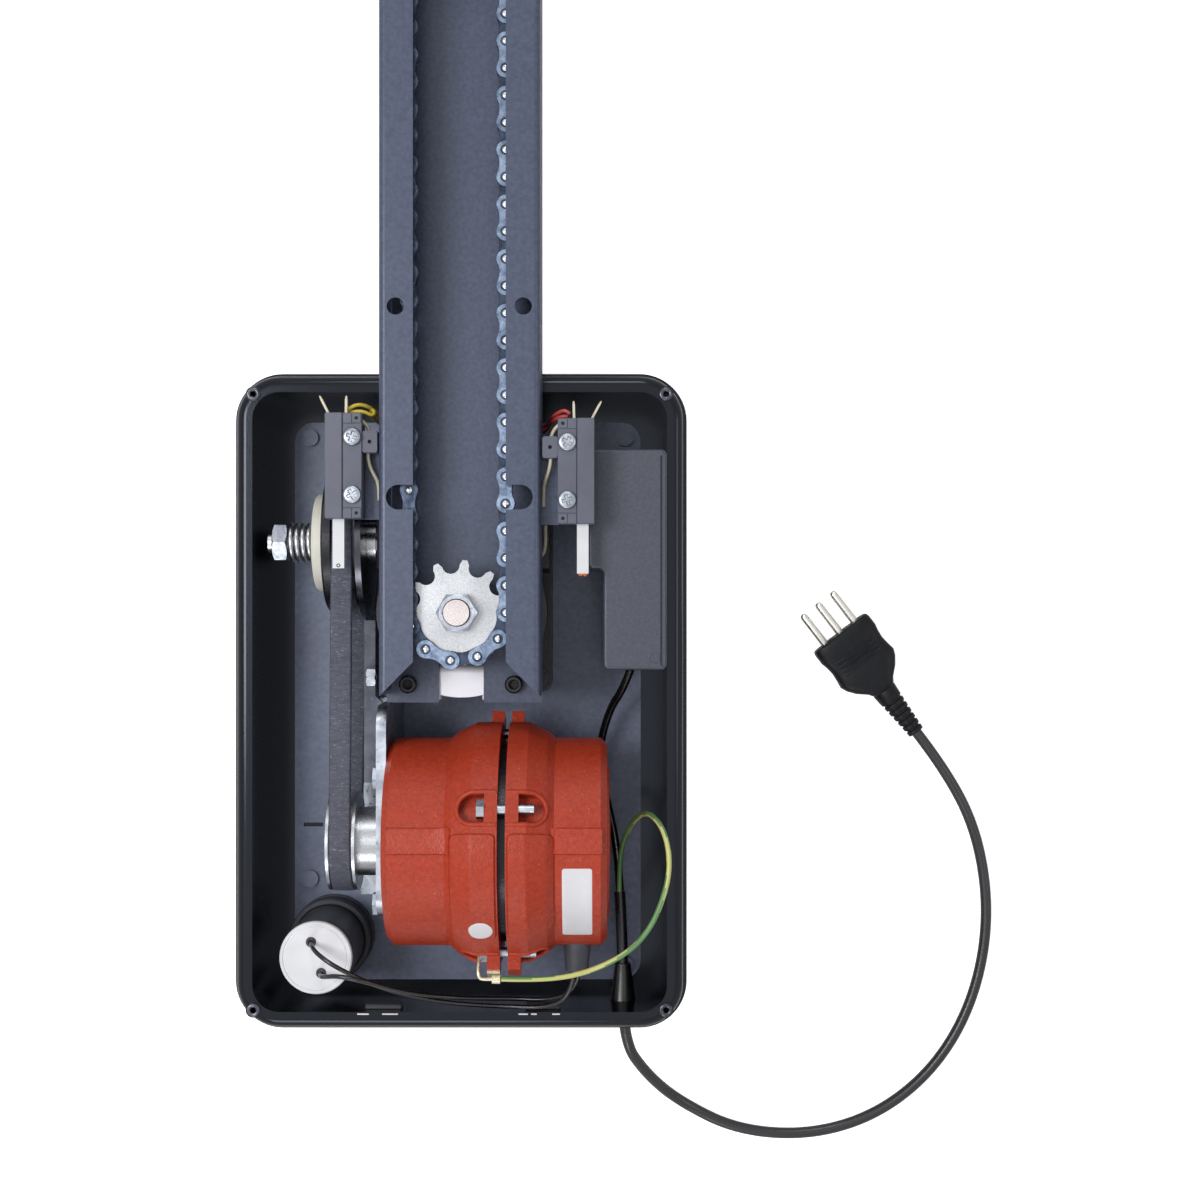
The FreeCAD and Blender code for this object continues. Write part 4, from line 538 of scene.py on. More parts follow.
PLUG_LENGTH = 37
PLUG_SIDES = 40
PLUG_SQUARENESS = 0.55
PLUG_SECTIONS = [
    (0.0, 5.6, 5.6), (0.6, 6.4, 6.0), (3.0, 8.0, 6.4), (7.0, 12.6, 6.7), (11.0, 15.6, 6.9), (14.0, 16.8, 7.0),
    (18.0, 16.2, 6.6), (22.0, 15.8, 6.4), (26.0, 16.2, 6.6), (29.5, 17.0, 7.0), (34.8, 17.0, 7.0),
    (36.4, 16.6, 6.7), (37.0, 15.8, 6.1),
]
GRIP_RIBS = 4
GRIP_FIRST = 18.2
GRIP_STEP = 2.6
GRIP_LEVEL = 6.35
GRIP_HALF = 11.5
GRIP_SECTION = [(-0.8, 0), (-0.4, 0.5), (0.4, 0.5), (0.8, 0)]
GRIP_WIDTHS = (-GRIP_HALF, -10.4, -5, 0, 5, 10.4, GRIP_HALF)


def squared(value):
    return math.copysign(abs(value) ** PLUG_SQUARENESS, value)


neck = tail + plug_axis * BOOT_LENGTH
body = Shape()
rings = []
for along, half_wide, half_thick in PLUG_SECTIONS:
    ring = []
    for turn in turns(PLUG_SIDES):
        wide = squared(math.cos(turn)) * half_wide
        thick = squared(math.sin(turn)) * half_thick
        ring.append(neck + plug_axis * along + plug_side * wide + Z * thick)
    rings.append(ring)
body.loft(rings)
for k in range(GRIP_RIBS):
    for face in (-1, 1):
        rib_place = neck + plug_axis * (GRIP_FIRST + GRIP_STEP * k) + Z * face * GRIP_LEVEL
        rows = []
        for along, lift in GRIP_SECTION:
            row = []
            for wide in GRIP_WIDTHS:
                height = lift if abs(wide) < GRIP_HALF else 0
                row.append(rib_place + plug_axis * along + plug_side * wide + Z * face * height)
            rows.append(row)
        body.sheet(rows)
plug_body = body.make("plug_body_moulded", [PLUG], "black_plastic", ["plug_body"])

PIN_SPACING = 9.5
PIN_PROFILE = [(-0.5, 0.5), (-0.5, 2.0), (16.8, 2.0), (18.0, 1.75), (18.7, 1.2), (19.0, 0.4)]
front = neck + plug_axis * PLUG_LENGTH
pins = Shape()
for i in (-1, 0, 1):
    pins.lathe(front + plug_side * i * PIN_SPACING, plug_axis, PIN_PROFILE, 24)
plug_pins = pins.make("plug_pins_turned", [NICKEL], "pin_nickel", ["plug_pins"])

# chain with waisted plates, rollers and riveted pins
TEETH = 11
RUN_LINKS = 27
PLATE_R = 4.4
PLATE_WAIST = 2.9
PLATE_THICK = 1.0
PLATE_BEVEL = 0.16
PLATE_END_TURNS = (68, 224)
PLATE_END_STEPS = 12
PLATE_WAIST_STEPS = 6
INNER_LEVEL = 1.75
RIVET_PROFILE = [(-0.02, 1.6), (0.32, 1.1), (0.5, 0.5)]
COLLAR_PROFILE = [(-0.1, 1.5), (0.1, 1.5), (0.1, 2.35), (-0.1, 2.5)]
ROLLER_PROFILE = [(1.4, 3.82), (1.7, 3.5), (1.7, 2.3)]
drive = middle("output_shaft")
turn_end = middle("return_axle")
pitch = (turn_end.y - drive.y) / (RUN_LINKS - 0.5)
pitch_r = pitch / (2 * math.sin(math.pi / TEETH))
chain_z = middle("chain_run_left").z


def plate_outline(start, end):
    """Figure-of-eight plan of one link plate."""
    along = (end - start).normalized()
    across = Vector((-along.y, along.x, 0))
    span = (end - start).length
    first_turn, sweep = PLATE_END_TURNS
    half = []
    for i in range(PLATE_END_STEPS + 1):
        turn = math.radians(first_turn + sweep * i / PLATE_END_STEPS)
        half.append((PLATE_R * math.cos(turn), PLATE_R * math.sin(turn)))
    x_end, y_end = half[-1]
    for i in range(1, PLATE_WAIST_STEPS):
        x = x_end + (span - 2 * x_end) * i / PLATE_WAIST_STEPS
        ease = abs(x - span / 2) / (span / 2 - x_end)
        half.append((x, -PLATE_WAIST + (y_end + PLATE_WAIST) * ease ** 2))
    local = half + [(span - x, -y) for x, y in half]
    return [tuple((start + along * x + across * y).xy) for x, y in local]


def wrap_pins(centre_y, first_angle):
    """Pin places of the links that lie around a sprocket."""
    pins = []
    for i in range((TEETH + 1) // 2):
        angle = math.radians(first_angle - i * 360 / TEETH)
        pins.append(Vector((drive.x + pitch_r * math.cos(angle), centre_y + pitch_r * math.sin(angle), 0)))
    return pins


def run_pins(side):
    """Pin places of one straight run."""
    x = drive.x + side * pitch_r
    start, end = (drive.y, turn_end.y) if side > 0 else (turn_end.y, drive.y)
    pins = [Vector((x, start + side * i * pitch, 0)) for i in range(RUN_LINKS)]
    return pins + [wrap_pins(end, 180 if side > 0 else 0)[-1]]


def mirrored(half):
    """Profile that is the same on both sides of its middle."""
    return [(-along, radius) for along, radius in half[::-1]] + half


def chain_piece(name, body, node, pins, ends_outer, plates=CHAIN):
    """Links along a row of pins: plates, with rivets on the outer links and rollers on the inner ones."""
    rivet_top = INNER_LEVEL + 2 * PLATE_THICK
    rivet = mirrored([(rivet_top + along, radius) for along, radius in RIVET_PROFILE])
    roller = mirrored(ROLLER_PROFILE)
    shape = Shape()
    for i, (start, end) in enumerate(zip(pins, pins[1:])):
        outer = (i % 2 == 0) == ends_outer
        level = INNER_LEVEL + (PLATE_THICK if outer else 0)
        # inner plates take the darker third look: painted shade
        look = 0 if outer else 2
        outline = plate_outline(start, end)
        shape.slab(outline, chain_z + level, chain_z + level + PLATE_THICK, PLATE_BEVEL, look)
        shape.slab(outline, chain_z - level - PLATE_THICK, chain_z - level, PLATE_BEVEL, look)
        for pin in (start, end):
            place = Vector((pin.x, pin.y, chain_z))
            if outer:
                shape.lathe(place, Z, rivet, 20, mark=1)
                for face in (-1, 1):
                    collar_place = place + Z * face * rivet_top
                    # collars take the darker third look: painted shade round the rivet heads
                    shape.lathe(collar_place, Z * face, COLLAR_PROFILE, 24, mark=2, closed=True)
            else:
                shape.lathe(place, Z, roller, 24, mark=1)
    shape.make(name, [plates, BRIGHT, CHAIN_RECESS_SHADE], "chain_steel", [node], body=body)


chain_piece("chain_wrap_drive_links", "output", "chain_drive_wrap", wrap_pins(drive.y, 0), False)
chain_piece("chain_wrap_return_links", "return_end", "chain_return_wrap", wrap_pins(turn_end.y, 180), False)
chain_piece("chain_run_right_links", "run_right", "chain_run_right", run_pins(1), True)
# left run in the darker chain steel: painted shade under the left flange
chain_piece("chain_run_left_links", "run_left", "chain_run_left", run_pins(-1), True, CHAIN_PAINTED_SHADE)

# nuts and the clutch spring
NUT_SIDES = 48
NUT_FACE = 0.96
NUT_CHAMFER = math.tan(math.radians(30))
NUT_BORE_EDGE = 0.5
SPROCKET_NUT_BORE_R = 6.05
CLUTCH_NUT_BORE_R = 5.05
SPRING_WIRE = 2.3
SPRING_TURNS = 4
SPRING_STEPS = 36


def hex_nut(shape, start, axis, flats, thick, bore):
    """Six-sided nut with chamfered corners and a bore."""
    side, up = side_axes(axis)
    half = flats / 2
    face_r = half * NUT_FACE

    def ring(height_of, radius_of):
        points = []
        for turn in turns(NUT_SIDES):
            sector = (turn % (math.pi / 3)) - math.pi / 6
            corner = half / math.cos(sector)
            out = side * math.cos(turn) + up * math.sin(turn)
            points.append(start + axis * height_of(corner) + out * radius_of(corner))
        return points

    shape.loft([
        ring(lambda c: 0, lambda c: bore),
        ring(lambda c: 0, lambda c: face_r),
        ring(lambda c: (c - face_r) * NUT_CHAMFER, lambda c: c),
        ring(lambda c: thick - (c - face_r) * NUT_CHAMFER, lambda c: c),
        ring(lambda c: thick, lambda c: face_r),
        ring(lambda c: thick, lambda c: bore + NUT_BORE_EDGE),
        ring(lambda c: thick - NUT_BORE_EDGE, lambda c: bore),
    ], closed=True)


low, high = box("sprocket_nut")
size = high - low
nut = Shape()
hex_nut(nut, Vector((drive.x, drive.y, low.z)), Z, min(size.x, size.y), size.z, SPROCKET_NUT_BORE_R)
nut.make("sprocket_nut_hex", [ZINC], "bright_steel", ["sprocket_nut"], 25, "output")

low, high = box("clutch_nut")
size = high - low
clutch = middle("clutch_nut")
nut = Shape()
hex_nut(nut, Vector((low.x, clutch.y, clutch.z)), X, min(size.y, size.z), size.x, CLUTCH_NUT_BORE_R)
nut.make("clutch_nut_hex", [ZINC], "zinc_steel", ["clutch_nut"], 25, "clutch")

low, high = box("clutch_spring")
spring_r = (high.y - low.y - SPRING_WIRE) / 2
steps = SPRING_STEPS * SPRING_TURNS
first_x = low.x + SPRING_WIRE / 2
last_x = high.x - SPRING_WIRE / 2
line = []
for i in range(steps + 1):
    turn = math.tau * SPRING_TURNS * i / steps
    line.append(Vector((first_x + (last_x - first_x) * i / steps,
                        clutch.y + spring_r * math.cos(turn), clutch.z + spring_r * math.sin(turn))))
spring = Shape()
spring.tube(line, SPRING_WIRE / 2, 14)
spring.make("clutch_spring_coil", [BRIGHT], "zinc_steel", ["clutch_spring"], 60, "clutch")

# belt with rounded edges, laid over both pulleys
BELT_THICK = 2.4
BELT_EDGE_R = 1.1
BELT_STEPS = 24
BELT_LONG_GAP = 30
motor = middle("motor_shaft")
belt_low, belt_high = box("drive_belt")
near_r = motor.y - belt_low.y - BELT_THICK / 2
far_r = belt_high.y - clutch.y - BELT_THICK / 2
near_axis = Vector(((belt_low.x + belt_high.x) / 2, motor.y, motor.z))
far_axis = Vector((near_axis.x, clutch.y, clutch.z))
belt_along = (far_axis - near_axis).normalized()
belt_above = X.cross(belt_along)
lean = math.asin((far_r - near_r) / (far_axis - near_axis).length)
stations = []
for axis_place, radius, start, sweep in (
    (far_axis, far_r, math.pi / 2 + lean, -math.pi - 2 * lean),
    (near_axis, near_r, -math.pi / 2 - lean, -math.pi + 2 * lean),
):
    for i in range(BELT_STEPS + 1):
        turn = start + sweep * i / BELT_STEPS
        out = belt_along * math.cos(turn) + belt_above * math.sin(turn)
        stations.append((axis_place + out * radius, out))
belt_path = []
for i, (place, out) in enumerate(stations):
    belt_path.append((place, out))
    after, after_out = stations[(i + 1) % len(stations)]
    if (after - place).length > BELT_LONG_GAP:
        for k in range(1, BELT_STEPS):
            share = k / BELT_STEPS
            belt_path.append((place.lerp(after, share), out.lerp(after_out, share).normalized()))
half_wide = (belt_high.x - belt_low.x) / 2
belt_section = round_rect(-half_wide, half_wide, -BELT_THICK / 2, BELT_THICK / 2, BELT_EDGE_R, 6)
belt = Shape()
belt.loft([[place + X * u + out * v for u, v in belt_section] for place, out in belt_path], closed=True)
belt.make("drive_belt_rounded", [BELT], "belt_rubber", ["drive_belt"], angle=50)

# motor labels, left bare
MOTOR_PROFILE = [
    (-1, 49.5), (29, 49.5), (32.5, 52.5), (41.5, 57), (66.8, 57), (75.8, 52.5), (79.3, 49.5), (110, 49.5),
]
LABEL_PLACE = (57.2, -92)
LABEL_OUTLINE = round_rect(-6.9, 6.9, -20, 20, 1.2)
STICKER_PLACE = (13.0, -101.5)
STICKER_OUTLINE = [(5.6 * math.cos(turn), 5.0 * math.sin(turn)) for turn in turns(40)]
PATCH_STEP = 1.5
PATCH_LAYERS = [(1.0, -0.05), (1.0, 0.12)] + [(size, 0.16) for size in (0.985, 0.75, 0.5, 0.25, 0.02)]
PANEL_RISE = 1.2
shell_low, _ = box("motor_shell_left")
_, shell_high = box("motor_shell_right")


def motor_radius(x):
    along = x - shell_low.x
    for (x0, r0), (x1, r1) in zip(MOTOR_PROFILE, MOTOR_PROFILE[1:]):
        if along <= x1:
            return r0 + (r1 - r0) * (along - x0) / (x1 - x0)
    return MOTOR_PROFILE[-1][1]


def on_motor(x, turn, lift):
    """Place above the motor's side at one turn about its axis."""
    radius = motor_radius(x) + lift
    return Vector((x, motor.y + radius * math.sin(turn), motor.z + radius * math.cos(turn)))


def filled(outline, step):
    """Outline with its long edges broken into short ones, so that it can follow a curved face."""
    out = []
    for (x0, y0), (x1, y1) in zip(outline, outline[1:] + outline[:1]):
        count = max(1, round(math.hypot(x1 - x0, y1 - y0) / step))
        for i in range(count):
            out.append((x0 + (x1 - x0) * i / count, y0 + (y1 - y0) * i / count))
    return out


def motor_patch(name, place, outline, look, base=0.0):
    """Thin sheet stuck on the motor's side, with its middle above one place; base lifts it onto a panel."""
    x, y = place
    base_r = motor_radius(x)
    turn = math.asin((y - motor.y) / base_r)
    rings = []
    for size, lift in PATCH_LAYERS:
        rings.append([on_motor(x + u * size, turn + v * size / base_r, base + lift)
                      for u, v in filled(outline, PATCH_STEP)])
    shape = Shape()
    shape.loft(rings)
    shape.make(name, [look], "white_plastic", angle=50)


motor_patch("motor_label_bare", LABEL_PLACE, LABEL_OUTLINE, PAPER)
motor_patch("motor_sticker_bare", STICKER_PLACE, STICKER_OUTLINE, PAPER, PANEL_RISE)

# motor castings: raised rims around the bolt pockets, raised panels, ring on the closed end
LUG_TURN = 22.4
POCKET_HALF = 7.0
POCKET_REACH = 19.85
POCKET_START = 2.4
RIM_R = 1.15
RIM_OUT = 0.7
RIM_SUNK = 0.3
RIM_STEPS = 8
LOWEST_RIM_Z = 6
split_x = middle("motor_core").x
half = POCKET_HALF + RIM_OUT
reach = POCKET_REACH + RIM_OUT - half
straight = reach - POCKET_START
rim_places = [(POCKET_START + straight * i / RIM_STEPS, half) for i in range(RIM_STEPS)]
for i in range(2 * RIM_STEPS + 1):
    turn = math.pi * i / (2 * RIM_STEPS)
    rim_places.append((reach + half * math.sin(turn), half * math.cos(turn)))
rim_places += [(reach - straight * i / RIM_STEPS, -half) for i in range(1, RIM_STEPS + 1)]
rims = Shape()
for quarter in range(4):
    lug_turn = math.radians(LUG_TURN + 90 * quarter)
    for side in (-1, 1):
        path = []
        for along, across in rim_places:
            x = split_x + side * along
            path.append(on_motor(x, lug_turn + math.asin(across / motor_radius(x)), -RIM_SUNK * RIM_R))
        if min(place.z for place in path) > LOWEST_RIM_Z:
            rims.tube(path, RIM_R, 12)
rims.make("motor_pocket_rims", [ENAMEL], "red_enamel", angle=60)

PANEL_SLOPE = 0.7
PANEL_SUNK = 0.2
PANEL_FOOT = 0.25
PANEL_STEP = 1.2
PANEL_RINGS = 20
SHOULDER_RISE = 1.4
SHOULDER_TURNS = (-0.3, 14.0)
BULGE_TURNS = (-44.0, 10.5)
SHOULDER_CORNER = 1.6
BULGE_CORNER = 3.0
MOTOR_PANELS = [
    ((-30.5, -0.6), SHOULDER_TURNS, SHOULDER_RISE, SHOULDER_CORNER),
    ((46.4, 69.2), SHOULDER_TURNS, SHOULDER_RISE, SHOULDER_CORNER),
    ((-1.2, 20.3), BULGE_TURNS, PANEL_RISE, BULGE_CORNER),
    ((25.3, 47.0), BULGE_TURNS, PANEL_RISE, BULGE_CORNER),
]
END_RING_PROFILE = [
    (-0.3, 20), (-0.3, 36.5), (0.5, 36.3), (1.1, 35.4), (1.1, 31.6), (0.5, 30.7), (0.3, 30), (0.3, 13.2),
    (1.0, 12.4), (1.6, 11.2), (1.8, 9.5), (1.8, 0.5),
]


def motor_panel(shape, ends, end_turns, rise, corner):
    """Raised panel cast on the motor's side, with a sloped edge and rounded corners."""
    x0, x1 = ends
    turn_low, turn_high = end_turns
    x = (x0 + x1) / 2
    turn = math.radians((turn_low + turn_high) / 2)
    base_r = motor_radius(x)
    half_x = (x1 - x0) / 2
    half_arc = base_r * math.radians(turn_high - turn_low) / 2
    outline = filled(round_rect(-half_x, half_x, -half_arc, half_arc, corner), PANEL_STEP)
    inner = inset(outline, PANEL_SLOPE)
    layers = [(outline, -PANEL_SUNK), (outline, PANEL_FOOT * rise), (inner, rise)]
    for step in range(1, PANEL_RINGS):
        share = 1 - step / PANEL_RINGS
        layers.append(([(u * share, v * share) for u, v in inner], rise))
    shape.loft([[on_motor(x + u, turn + v / base_r, lift) for u, v in ring] for ring, lift in layers])


panels = Shape()
for panel in MOTOR_PANELS:
    motor_panel(panels, *panel)
panels.make("motor_raised_panels", [ENAMEL], "red_enamel", angle=30)
ends = Shape()
ends.lathe(Vector((shell_high.x, motor.y, motor.z)), X, END_RING_PROFILE, 72)
ends.make("motor_end_ring", [ENAMEL], "red_enamel")

# angle beside the gearbox and the bolt in the gearbox's side
ANGLE_WIDE = 5.9
ANGLE_THICK = 2.0
ANGLE_DROP = 0.4
ANGLE_LEG = 27
ANGLE_FAR = 37
ANGLE_NEAR = -42
BRACKET_THICK = 4.72
BOLT_PLACE = (12, 62.5)
BOLT_FLATS = 8.0
BOLT_THICK = 4.6
BOLT_SOCKET_R = 1.6
BOLT_SHANK_R = 1.8
housing_low, housing_high = box("gearbox_housing")
cover_low, _ = box("gearbox_cover")
_, bracket_high = box("motor_bracket")
face_x = housing_low.x - 0.02
bracket_face = bracket_high.x - BRACKET_THICK
angle_x = face_x - ANGLE_WIDE
angle_far = housing_low.y + ANGLE_FAR
angle_near = housing_low.y + ANGLE_NEAR
angle_top = housing_high.z - ANGLE_DROP
side_angle = Shape()
side_angle.slab([(angle_x, angle_near), (bracket_face, angle_near), (bracket_face, bracket_high.y - 0.5),
                 (face_x, housing_low.y + 0.2), (face_x, angle_far), (angle_x, angle_far)],
                angle_top - ANGLE_THICK, angle_top, 0.3)
side_angle.slab(round_rect(face_x - ANGLE_THICK, face_x, housing_low.y + 0.6, angle_far, 0.3),
                housing_high.z - ANGLE_LEG, housing_high.z - 2.2, 0.25)
side_angle.make("gearbox_side_angle", [GALVANISED], "zinc_steel", angle=30)
bolt_place = Vector((cover_low.x + 0.05, *BOLT_PLACE))
bolt_end = BOLT_THICK - 0.35
side_bolt = Shape()
hex_nut(side_bolt, bolt_place, -X, BOLT_FLATS, BOLT_THICK, BOLT_SOCKET_R)
side_bolt.lathe(bolt_place, -X, [
    (0.2, 0.4), (0.2, BOLT_SHANK_R), (bolt_end, BOLT_SHANK_R), (bolt_end, 0.4),
], 24)
side_bolt.make("gearbox_side_bolt", [ZINC], "zinc_steel", angle=25)

# capacitor: white top with a raised ring and two grommets, can with a rolled edge, boot with a lip
LEAD_HOLES = [(-70.3, -114.1), (-65.5, -128.9)]
GROMMET_PROFILE = [(-0.4, 1.15), (-0.4, 2.5), (0.5, 2.4), (0.9, 1.9), (0.9, 1.4), (-0.3, 1.15)]
CAN_SIDES = 64
can_low, can_high = box("capacitor_can")
cap_low, cap_high = box("capacitor_cap")
boot_low, boot_high = box("capacitor_boot")
centre = middle("capacitor_can")
cap_foot = cap_low.z - cap_high.z
top = Shape()
top.lathe(Vector((centre.x, centre.y, cap_high.z)), Z, [
    (cap_foot, 2), (cap_foot, 17.3), (-0.7, 17.4), (0, 16.9), (0, 15.9), (-0.6, 15.6), (-0.6, 15.1),
    (-0.1, 14.8), (-0.1, 1),
], CAN_SIDES)
for x, y in LEAD_HOLES:
    top.lathe(Vector((x, y, cap_high.z)), Z, GROMMET_PROFILE, 24, mark=1)
top.make("capacitor_top", [WHITE, RUBBER], "white_plastic", ["capacitor_cap"])
can_foot = can_low.z - can_high.z
can = Shape()
can.lathe(Vector((centre.x, centre.y, can_high.z)), Z, [
    (can_foot, 2), (can_foot, 17.2), (can_foot + 0.4, 17.5), (-3.4, 17.5), (-3.0, 17.1), (-2.2, 17.1),
    (-1.8, 17.5), (-0.5, 17.5), (0, 17.1), (0, 2),
], CAN_SIDES)
can.make("capacitor_can_rolled", [CAN], "capacitor_case", ["capacitor_can"])
boot_foot = boot_low.z - boot_high.z
sleeve = Shape()
sleeve.lathe(Vector((centre.x, centre.y, boot_high.z)), Z, [
    (boot_foot, 17.6), (boot_foot, 20.5), (boot_foot + 2.2, 20.5), (boot_foot + 2.6, 19.6), (-3.2, 19.4),
    (-2.6, 20.4), (-0.5, 20.5), (0, 20.0), (0, 18.2), (-0.6, 17.6),
], CAN_SIDES, closed=True)
sleeve.make("capacitor_boot_lipped", [RUBBER], "black_rubber", ["capacitor_boot"])

# wires that the tray holds
LEAD_R = 1.1
SUPPLY_R = 2.0
EARTH_R = 1.3
EARTH_SIDES = 12
STRIPE_SIDES = 5
STRIPE_RINGS = 5
STRIP_R = 0.9
LEAD_A = [
    (-70.3, -114.1, 69.3), (-68.5, -115.2, 79.5), (-60, -120.5, 86), (-48, -127.5, 84), (-37, -134.5, 74),
    (-25, -140.5, 64), (-9, -145, 58), (8, -147, 56), (25, -147.5, 57), (41, -147.3, 60.5),
    (53.5, -140.9, 67), (55.4, -127.8, 70.5),
]
LEAD_B = [
    (-65.5, -128.9, 69.3), (-65, -128.7, 77.5), (-61.5, -127.6, 85), (-55, -126.1, 90), (-46.5, -127.5, 91),
    (-38, -130.5, 87), (-28.5, -135.5, 77), (-17.5, -140, 66), (-3.5, -143, 57.5), (12, -144.3, 53.5),
    (27, -144.5, 52.8), (42.5, -144.5, 56.5), (56, -138.9, 63), (57.9, -127.8, 67.3),
]
SUPPLY_ROUTE = [
    (77.6, -95.6, 28), (77, -83.5, 20.5), (75, -69.5, 12), (71.5, -54.5, 7.2), (68, -38.5, 8.5),
    (67.5, -24, 15), (72.5, -5.3, 24.5), (79.5, 5.5, 33), (82.8, 15, 36.8),
]
EARTH_ROUTE = [
    (21.3, -128.2, 86.3), (38.5, -129, 85), (57.5, -127.1, 83), (72.4, -121.8, 81), (83.7, -115, 79.5),
    (91.8, -105.3, 78), (97, -93.7, 77), (100.4, -81.4, 76.5), (100.4, -68.3, 75.5), (96.8, -57.5, 71),
    (89.7, -52.3, 58), (82, -61.5, 42.5), (77, -77.6, 35), (77.4, -95.6, 31.9),
]
EARTH_STRIP = [
    (11.3, -117.2, 82.2), (10.8, -120.5, 84), (10.6, -124.5, 86), (10.9, -127.4, 86.6), (13, -128.4, 86.5),
    (17.8, -128.2, 86.4),
]


def earth_stripe(ring, side):
    """Yellow stripe that winds around the green wire."""
    return 1 if (side + ring // STRIPE_RINGS) % EARTH_SIDES < STRIPE_SIDES else 0


spline("capacitor_lead_pair", [LEAD_A, LEAD_B], LEAD_R, LEAD, ["capacitor_leads"])
spline("supply_lead_line", [SUPPLY_ROUTE], SUPPLY_R, LEAD, ["supply_lead"])
spline("earth_terminal_strip", [EARTH_STRIP], STRIP_R, TINNED)
earth = Shape()
earth.tube(spline_points(EARTH_ROUTE), EARTH_R, EARTH_SIDES, earth_stripe)
earth.make("earth_wire_striped", [EARTH_GREEN, EARTH_YELLOW], "earth_sheath", ["earth_wire"], angle=60)

# limit switches: two-level case with a seam, eyelets, side tab, terminals and cross-recess screws
TERMINAL_REACH = 8
SWITCH_STEP = 0.8
SWITCH_LID = 0.5
SEAM_HALF = 0.15
SCREW_FROM_MIDDLE = 4.1
SEAM_FROM_SCREW = 4.5
LEVER_FROM_MIDDLE = 3.06
SLOT_LOW = 4.0
SLOT_HIGH = 7.6
SLOT_LONG = 8.6
SLOT_HALF = 4.8
LEAST_GUIDE = 0.6
EYELET_HALF = 2.0
EYELET_R = 0.85
EYELET_IN = 2.4
EYELET_FROM_END = 2.5
RECESS_FROM_END = 5.0
TAB_REACH = 7.1
TAB_HALF = 5.0
TAB_HOLE_R = 0.9
TAB_FROM_END = 13.4
TERMINAL_OFFSET = 4.0
TERMINAL_HALF = (0.55, 1.5)
TERMINAL_TIP = 0.55
SCREW_FIRST = 11
SCREW_SPACING = 26.8
SCREW_R = 4.2
SCREW_THICK = 2.2
SCREW_SIDES = 48
SCREW_FOOT_R = 0.5
SCREW_FIRST_TURN = 0.5
SCREW_TURN_STEP = 0.7
CROSS_ARM = 0.16
CROSS_REACH = 0.58
CROSS_FROM = 0.6
CROSS_DEPTH = 0.42
SCREW_SHANK = [(-15.4, 1.8), (-15.4, 2.1), (0.2, 2.1), (0.2, 1.0)]
PAN_HEAD = [(1.0, 0.0), (1.0, 0.55), (0.95, 0.8), (0.85, 0.93), (0.7, 0.985)]
PAN_HEAD += [(share / 100, 1.0) for share in range(62, 0, -7)]


def cross_screw(shape, place, turn0):
    """Pan head with a cross recess pressed into it."""
    x, y, low = place
    c, s = math.cos(turn0), math.sin(turn0)
    rings = [[
        Vector((x + SCREW_FOOT_R * math.cos(turn), y + SCREW_FOOT_R * math.sin(turn), low))
        for turn in turns(SCREW_SIDES)
    ]]
    for share, height in PAN_HEAD:
        ring = []
        for turn in turns(SCREW_SIDES):
            u = SCREW_R * share * math.cos(turn)
            v = SCREW_R * share * math.sin(turn)
            arm, reach = sorted((abs(u), abs(v)))
            level = height
            if arm < CROSS_ARM * SCREW_R and reach < CROSS_REACH * SCREW_R and share < CROSS_FROM:
                level -= CROSS_DEPTH
            ring.append(Vector((x + u * c - v * s, y + u * s + v * c, low + SCREW_THICK * level)))
        rings.append(ring)
    shape.loft(rings)


